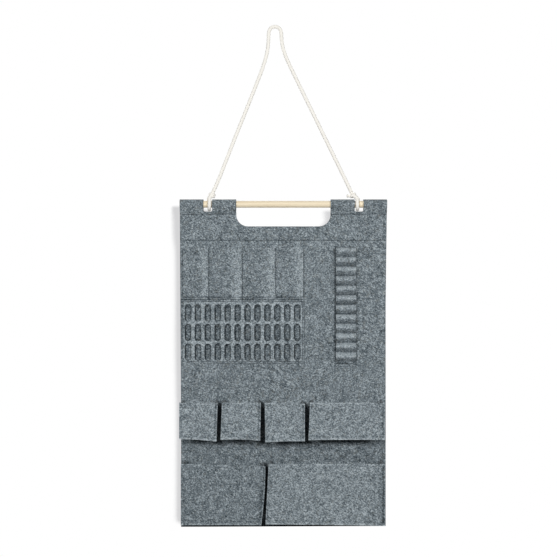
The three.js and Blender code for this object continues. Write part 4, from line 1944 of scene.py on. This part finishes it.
@dataclass
class TiedEnd:
    """One end of the cord: a loop round the dowel, a knot and a short tail."""

    name: str
    side: int
    knot_lean: float  # from the loop's middle inwards to its knot
    strand_lean: float  # degrees from upright
    tail_way: Point
    loop_reach: float = 161.85
    loop_radius: float = 11.55
    leg_angle: float = 25.0
    leg_outs: tuple[float, float] = (3.9, 5.8)  # from the middle plane to the legs' upper and lower points
    leg_rises: tuple[float, float] = (1.0, -6.2)  # those points' heights from the knot
    knot_height: float = 20.0
    wrap_radius: float = 4.6
    wrap_turn: tuple[float, float] = (-160.0, 270.0)  # degrees
    wrap_rise: float = 5.0
    back_shift: float = 2.6  # how far outwards the back leg lies from the front one
    stub: float = 9.0
    tail_length: float = 14.0

    def __post_init__(self) -> None:
        """Work out where the knot is and the way that the free cord leaves it."""
        self.loop_x = self.side * self.loop_reach
        self.knot = Vector((self.side * (self.loop_reach - self.knot_lean), 0.0, self.knot_height))
        angle = math.radians(self.strand_lean)
        self.strand = Vector((-self.side * math.sin(angle), 0.0, math.cos(angle)))

    def start(self) -> Vector:
        """Where the free cord begins."""
        return self.knot + self.strand * (self.stub + GAP)

    def _leg(self, face: int) -> list[Vector]:
        """One leg of the loop.

        Args:
            face: -1 for the front leg, 1 for the back one.

        Returns:
            Its upper and its lower point.
        """
        aside = self.side * self.back_shift * (face + 1) / 2
        places = (self.knot.x + aside / 2, self.loop_x + aside)
        return [
            Vector((x, face * out, self.knot_height + rise))
            for x, out, rise in zip(places, self.leg_outs, self.leg_rises)
        ]

    def _loop(self) -> list[Vector]:
        """Lead the loop from the knot down the front, under the dowel and up behind.

        Returns:
            Points along it.
        """
        first = math.radians(self.leg_angle)
        around = []
        for angle in evenly(first, -math.pi - first, 12):
            behind = (first - angle) / (math.pi + 2 * first)
            x = self.loop_x + self.side * self.back_shift * behind
            y = -self.loop_radius * math.cos(angle)
            around.append(Vector((x, y, self.loop_radius * math.sin(angle))))
        return smooth_line([*self._leg(-1), *around, *reversed(self._leg(1))], 1.5)

    def _wrap(self) -> list[Vector]:
        """Lead the turn that makes the knot.

        Returns:
            Points along it.
        """
        across = Vector((0.0, 1.0, 0.0))
        aside = self.strand.cross(across)
        line = []
        for share in evenly(0.0, 1.0, 40):
            angle = math.radians(self.wrap_turn[0] + (self.wrap_turn[1] - self.wrap_turn[0]) * share)
            out = self.wrap_radius * (across * math.cos(angle) + aside * math.sin(angle))
            line.append(self.knot + out + self.strand * self.wrap_rise * (share - 0.5))
        return line

    def build(self, finishes: Finishes) -> Piece:
        """Tie the end.

        Args:
            finishes: The materials.

        Returns:
            The piece.
        """
        bm = bmesh.new()
        Rope().lay(bm, self._loop())
        Rope(radius=3.3, pitch=24.0).lay(bm, self._wrap())
        Rope().lay(bm, [self.knot + self.strand * along for along in evenly(-2.0, self.stub, 8)])
        tail = Vector(self.tail_way).normalized()
        tail_line = [self.knot + tail * along for along in evenly(1.0, self.tail_length, 9)]
        Rope(radius=3.6, groove=0.34).lay(bm, tail_line)
        return tie_piece(bm, self.name, finishes)


@dataclass
class HangingCord:
    """The cord from knot to knot, bent over the hanging point."""

    diameter: float = 7.5
    route: tuple[Spot, ...] = (  # X and Z from the hanging point
        (-121, -325.3), (-93.5, -254.9), (-65.3, -184.5), (-37.4, -114), (-30.6, -96.5), (-24.6, -78.9),
        (-19.4, -61.3), (-16, -43.7), (-14.4, -26), (-13.8, -10.3), (-9.8, -0.2), (0, 3.75), (9.8, -0.2),
        (13.8, -10.3), (14.8, -26), (17.8, -43.7), (23.6, -61.3), (31.2, -78.9), (39.6, -96.5), (48, -114),
        (82.4, -184.5), (116.6, -254.9), (151, -325.3),
    )

    def build(self, ends: Sequence[TiedEnd], knots: Sequence[Piece], finishes: Finishes) -> Piece:
        """Args:
            ends: The left and the right tied end.
            knots: Their pieces; not used.
            finishes: The materials.

        Returns:
            The cord.
        """
        between = [Vector((x, 0.0, z)) - DOWEL_MIDDLE for x, z in self.route]
        line = smooth_line([ends[0].start(), *between, ends[1].start()], 2.0)
        bm = bmesh.new()
        Rope().lay(bm, line)
        piece = tie_piece(bm, "hanging_cord", finishes)
        path = [PLACE @ point for point in line]
        sum((after - before).length for before, after in zip(path, path[1:]))
        return piece


# Studio

@dataclass(frozen=True)
class Lamp:
    """One soft lamp, aimed at the middle of the organizer."""

    name: str
    azimuth: float  # degrees to the right of straight in front
    elevation: float  # degrees above level
    width: float
    height: float
    level: float  # how bright it makes a white card that faces it
    distance: float = 3.0

    def hang(self, aim: Vector) -> None:
        """Hang the lamp and turn it to its aim.

        Args:
            aim: What it shines at.
        """
        turn = Euler((-math.radians(self.elevation), 0.0, math.radians(self.azimuth)))
        way = turn.to_matrix() @ Vector((0.0, -1.0, 0.0))
        data = bpy.data.lights.new(self.name, "AREA")
        data.shape = "RECTANGLE"
        data.size = self.width
        data.size_y = self.height
        data.energy = self.level * (math.pi * self.distance) ** 2
        lamp = bpy.data.objects.new(self.name, data)
        lamp.location = aim + way * self.distance
        lamp.rotation_euler = (-way).to_track_quat("-Z", "Y").to_euler()
        bpy.context.scene.collection.objects.link(lamp)


@dataclass
class Studio:
    """Wall, floor, lights and the camera at the photograph's angle."""

    wall_y: float = 0.0165
    wall_z: float = -0.4
    floor_z: float = -1.32
    floor_reach: float = 1.3
    floor_white: Colour = (0.9, 0.9, 0.9, 1.0)
    board_half: float = 4.0
    sky: float = 0.1
    wall_bounce: Colour = (0.85, 0.85, 0.85, 1.0)  # how bright the wall glows onto other surfaces, standing in for light bounced off it
    aim: Point = (0.02, -0.03, -0.7)
    camera_at: Point = (0.00772, -2.45, -0.55096)
    lens: float = 71.88
    shadow: Colour = (0.66, 0.66, 0.67, 1.0)
    shadow_way: Point = (0.88, -0.47, -0.06)  # towards what casts it
    shadow_reach: float = 0.03
    shadow_ends: tuple[float, float] = (-0.3945, -1.088)  # heights at which it fades out
    shadow_fades: tuple[float, float] = (150.0, 60.0)  # how fast it fades there, for each metre
    shadow_open: float = 0.83  # share of open sky at which it is full
    shadow_edge: float = 11.0  # how fast it ends above that share
    shadow_left: float = -0.19  # to the right of this, in the hand-hold, the shadow is narrower
    lamps: tuple[Lamp, ...] = (
        Lamp("key", 28.0, 13.0, 1.3, 0.5, 0.47),
        Lamp("fill", -21.0, 12.5, 1.3, 0.5, 0.55),
        Lamp("back", 195.0, 20.0, 1.8, 1.8, 0.1),
    )

    @staticmethod
    def _shown(graph: Graph, shader: Term, rays: Sequence[str], share: Operand = 1.0) -> None:
        """Show a board from its front to some kinds of ray, and let all else through it.

        Args:
            graph: The board's nodes.
            shader: Its paint.
            rays: The kinds of ray that see it.
            share: How much of it they see.
        """
        behind = graph.add("ShaderNodeNewGeometry", output="Backfacing")
        clear = graph.add("ShaderNodeBsdfTransparent")
        factor = sum(graph.ray(kind) for kind in rays) * (1 - behind) * share
        graph.show(graph.add("ShaderNodeMixShader", None, {0: factor, 1: clear, 2: shader}))

    def _wall_paint(self) -> Material:
        """Glowing white paint with a painted shadow close beside the felt, on its left and in the hand-hold.

        Returns:
            The paint.
        """
        material, graph = new_material("wall")
        way = graph.add("ShaderNodeCombineXYZ", None, dict(zip("XYZ", self.shadow_way)))
        sockets = {"Distance": self.shadow_reach, "Normal": way}
        open_share = graph.add("ShaderNodeAmbientOcclusion", {"samples": 24}, sockets, output="AO")
        place = graph.place()
        height = graph.along(place, Axis.Z)
        top, foot = self.shadow_ends
        top_fade, foot_fade = self.shadow_fades
        within = graph.clamp((graph.along(place, Axis.X) - self.shadow_left) * 20)
        above = graph.clamp((height - top + within * 0.01) * top_fade)
        below = graph.clamp((foot - height) * foot_fade)
        lit = graph.clamp((open_share - self.shadow_open) * self.shadow_edge + within * 2.1)
        shade = graph.mix(lit + above + below, self.shadow, WHITE)
        colour = graph.mix(graph.ray("Camera"), self.wall_bounce, shade)
        self._shown(graph, graph.add("ShaderNodeEmission", None, {"Color": colour}), ("Camera", "Diffuse"))
        return material

    def _floor_paint(self) -> Material:
        """Pale matt paint that keeps a shadow near the object and fades into the white round it.

        Returns:
            The paint.
        """
        material, graph = new_material("floor")
        paint = graph.add("ShaderNodeBsdfDiffuse", None, {"Color": self.floor_white})
        sockets = {0: graph.place(), 1: (0, 0, self.floor_z)}
        away = graph.add("ShaderNodeVectorMath", {"operation": "DISTANCE"}, sockets, output="Value")
        close = graph.clamp((self.floor_reach - away) * 1.4)
        self._shown(graph, paint, ("Camera", "Glossy"), close)
        return material

    def _board(self, paint: Material, middle: Point, turn: float) -> None:
        """Set up one large flat board.

        Args:
            paint: Its paint, which gives it its name.
            middle: Its middle.
            turn: How far it is tilted about X.
        """
        bm = bmesh.new()
        place = Matrix.Translation(middle) @ Matrix.Rotation(turn, 4, "X")
        bmesh.ops.create_grid(bm, x_segments=1, y_segments=1, size=self.board_half, matrix=place)
        link_mesh(bm, paint.name, paint)

    def _world(self) -> None:
        """White to the camera and in reflections, an even sky to everything else."""
        world = bpy.data.worlds.new("studio")
        world.use_nodes = True
        bpy.context.scene.world = world
        graph = Graph(world.node_tree)
        seen = sum(graph.ray(kind) for kind in ("Camera", "Glossy", "Transmission"))
        light, shown = (
            graph.add("ShaderNodeBackground", None, {"Color": WHITE, "Strength": strength})
            for strength in (self.sky, 1.0)
        )
        surface = graph.add("ShaderNodeMixShader", None, {0: seen, 1: light, 2: shown})
        graph.add("ShaderNodeOutputWorld", None, {"Surface": surface})

    def _camera(self) -> None:
        """Stand the camera square to the wall."""
        data = bpy.data.cameras.new("camera")
        data.lens = self.lens
        data.sensor_width = 36.0
        camera = bpy.data.objects.new("camera", data)
        camera.location = self.camera_at
        camera.rotation_euler = (math.pi / 2, 0.0, 0.0)
        bpy.context.scene.collection.objects.link(camera)
        bpy.context.scene.camera = camera

    def build(self) -> None:
        """Set up everything round the object."""
        bpy.context.scene.view_settings.view_transform = "Standard"
        self._camera()
        self._world()
        self._board(self._wall_paint(), (0.0, self.wall_y, self.wall_z), math.pi / 2)
        self._board(self._floor_paint(), (0.0, self.wall_y - self.board_half, self.floor_z), 0.0)
        for lamp in self.lamps:
            lamp.hang(Vector(self.aim))


def main() -> None:
    """Build the studio and then the pieces, from the cord down."""
    logging.basicConfig(level=logging.INFO, format="%(message)s")
    Studio().build()
    finishes = Finishes()
    ends = [
        TiedEnd("left_hitch", -1, 4.4, 20.4, (0.1, 0.95, 0.3)),
        TiedEnd("right_hitch", 1, 8.4, 25.5, (-0.97, -0.22, -0.05), knot_height=18.5),
    ]
    knots = [end.build(finishes) for end in ends]
    HangingCord().build(ends, knots, finishes)
    DowelRod().build(finishes)
    panel = BackPanel()
    sewn_pieces = {
        "panel_stitches": [panel],
        "needle_pocket_stitches": [panel.needles],
        "slot_panel_stitches": [panel.slots],
        "hook_loop_stitches": [panel.loops],
        "pocket_stitches": box_pockets(),
    }
    for name, parts in sewn_pieces.items():
        stitches = Stitches(name)
        for part in parts:
            part.build(finishes)
            part.sew(stitches)
        stitches.build(finishes)


if __name__ == "__main__":
    main()
